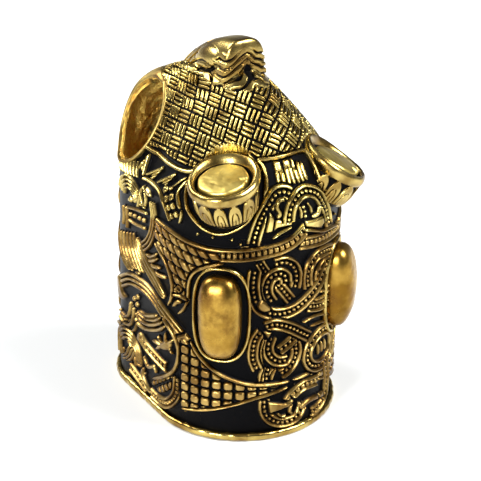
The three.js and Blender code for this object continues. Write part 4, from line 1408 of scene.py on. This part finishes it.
def ear_ring(name, side):
    """The ring that cradles an ear from below and runs up beside the arches."""
    path = spline([(-11.0, 26.2), (-10.9, 25.0), (-10.2, 23.6), (-9.1, 22.5), (-7.9, 22.0), (-6.9, 22.0),
                   (-5.9, 22.4), (-4.9, 23.1), (-4.2, 24.1), (-3.7, 25.0)], 0.1)
    piece = surface_bead("ear_ring_" + name, -side * path[:, 0], path[:, 1], 0.17, ends=0.04)
    place(piece, "antiqued_brass", "ear_collar_" + name)


def brow_frame():
    """The brow's edge, and a leg that runs down from each of its ends."""
    left_leg = [(-3.15, 25.5), (-2.75, 26.4), (-2.65, 27.1), (-2.8, 27.9), (-3.15, 28.35)]
    right_leg = [(3.3, 28.25), (3.7, 27.4), (3.6, 26.3), (3.55, 25.3)]
    path = spline(left_leg + [(-2.1, 28.4), (-0.9, 28.45), (0.4, 28.5), (1.9, 28.45)] + right_leg, 0.1)
    piece = surface_bead("brow_line", path[:, 0], path[:, 1], 0.2, ends=0.05)
    place(piece, "polished_brass", "brow_frame")


# ------------------------------------------------------------------ snout

FOLD_DEPTH = 0.22
SNOUT_MIDDLE = (0, 2.5, 34)


def snout():
    """A blunt ridge astride the dome. Sections stand across Y, and folds run over its skin."""
    count, stations = 360, 270
    travel = np.linspace(0, 1, stations) ** 1.7
    blunt = np.clip(1 - (1 - np.clip(travel / 0.09, 0, 1)) ** 3.2, 0, 1) ** (1 / 3.2)
    blunt = np.maximum(blunt, 0.004)
    y = SNOUT["front"] + travel * (SNOUT["back"] - SNOUT["front"])
    crest = SNOUT["top"] - 0.05 + (SNOUT["back_top"] - SNOUT["top"]) * travel ** 2.0
    low = SNOUT["chin"] + 0 * y
    middle, half_height = (crest + low) / 2, (crest - low) / 2
    half_width = (SNOUT["half_width"] - 0.04) * np.sqrt(np.clip(1 - 0.5 * travel ** 3, 0, 1))
    across, upright = squared_circle(full_circle(count), 0.62)
    flare = 0.85 * (1 - upright) / 2
    x = (blunt * half_width)[:, None] * across + blunt[:, None] * flare * across
    z = middle[:, None] + (blunt * half_height)[:, None] * upright
    points = np.stack([x, np.broadcast_to(y[:, None], x.shape), z], -1)
    lobe = np.sqrt(np.clip(1 - nostril(points) ** 2, 0, 1))
    points[..., 0] += 0.5 * lobe * np.sign(across)
    normals = grid_normals(points, closed=True)
    outward = np.sign((normals * (points - SNOUT_MIDDLE)).sum(-1))
    ridges = snout_ridges(points)
    points = points - normals * (outward * (1 - ridges) * FOLD_DEPTH)[..., None]
    faces = grid_faces(stations, count, closed=True)[:, ::-1]
    piece = smooth_mesh("snout_folds", points, [faces], collar_brass, tones=ridges)
    place(piece, "antiqued_brass", "snout")


interior()
rim_band()
brow_frame()
snout()
for name, ear in EARS.items():
    window_lip(name, ear["side"])
    window_wall(name, ear["side"])
    ear_cup(name)
    ear_disc(name)
    ear_ring(name, ear["side"])
    oval_boss(name, ear["side"])
    oval_ring(name, ear["side"])

# ------------------------------------------------------------------ setting

TARGET = Vector((0, (1 + ORIGIN_Y) * MM, 18.8 * MM))
CAMERA = {"azimuth": -31, "elevation": 24.5, "distance": 0.15, "lens": 116.2}
CAMERA_SHIFT = (0.008316008, -0.043659044)      # shares of the picture's width


def direction(azimuth, elevation):
    """Unit vector towards a place round the part, in degrees from the front and above the floor."""
    a, e = math.radians(azimuth), math.radians(elevation)
    return Vector((math.sin(a) * math.cos(e), -math.cos(a) * math.cos(e), math.sin(e)))


camera = add_object("camera", bpy.data.cameras.new("camera"))
back = direction(CAMERA["azimuth"], CAMERA["elevation"])
camera.location = TARGET + back * CAMERA["distance"]
camera.rotation_mode = "QUATERNION"
camera.rotation_quaternion = (-back).to_track_quat("-Z", "Y")
camera.data.lens = CAMERA["lens"]
camera.data.sensor_width = 36
camera.data.shift_x, camera.data.shift_y = CAMERA_SHIFT
camera.data.clip_start = 0.005
camera.data.clip_end = 5
bpy.context.scene.camera = camera


def softbox(name, azimuth, elevation, distance, width, height, power):
    """A rectangular light that faces the part."""
    light = bpy.data.lights.new(name, "AREA")
    light.shape = "RECTANGLE"
    light.size = width
    light.size_y = height
    light.energy = power
    lamp = add_object(name, light)
    way = direction(azimuth, elevation)
    lamp.location = TARGET + way * distance
    lamp.rotation_mode = "QUATERNION"
    lamp.rotation_quaternion = way.to_track_quat("Z", "Y")


softbox("key", 42, 50, 0.55, 0.22, 0.22, 5.5)
softbox("rear", -150, 42, 0.60, 0.30, 0.30, 5.0)
softbox("side", -64, 22, 0.60, 0.16, 0.16, 4.5)

world = bpy.data.worlds.new("world")
bpy.context.scene.world = world
world.use_nodes = True
sky = world.node_tree
sky_direction = sky.nodes.new("ShaderNodeTexCoord")
sky_parts = sky.nodes.new("ShaderNodeSeparateXYZ")
sky.links.new(sky_direction.outputs["Generated"], sky_parts.inputs["Vector"])
sky_ramp = ramp_node(sky, sky_parts.outputs["Z"], [(0.0, (0.60, 0.60, 0.60)), (0.35, (0.10, 0.10, 0.11)),
                                                   (0.75, (0.05, 0.05, 0.055)), (1.0, (0.45, 0.45, 0.45))])
sky.links.new(sky_ramp, sky.nodes["Background"].inputs["Color"])
sky.nodes["Background"].inputs["Strength"].default_value = 0.6

FLOOR_REACH = 1.2
floor_corners = [(x * FLOOR_REACH, y * FLOOR_REACH, 0) for x, y in ((-1, -1), (1, -1), (1, 1), (-1, 1))]
floor_mesh = bpy.data.meshes.new("floor")
floor_mesh.from_pydata(floor_corners, [], [(0, 1, 2, 3)])
floor = add_object("floor", floor_mesh)
floor_material, floor_tree, floor_shader = new_material("floor")
floor_shader.inputs["Base Color"].default_value = (0.62, 0.63, 0.63, 1)
floor_shader.inputs["Roughness"].default_value = 0.8
floor_mesh.materials.append(floor_material)

bpy.context.scene.view_settings.view_transform = "Standard"
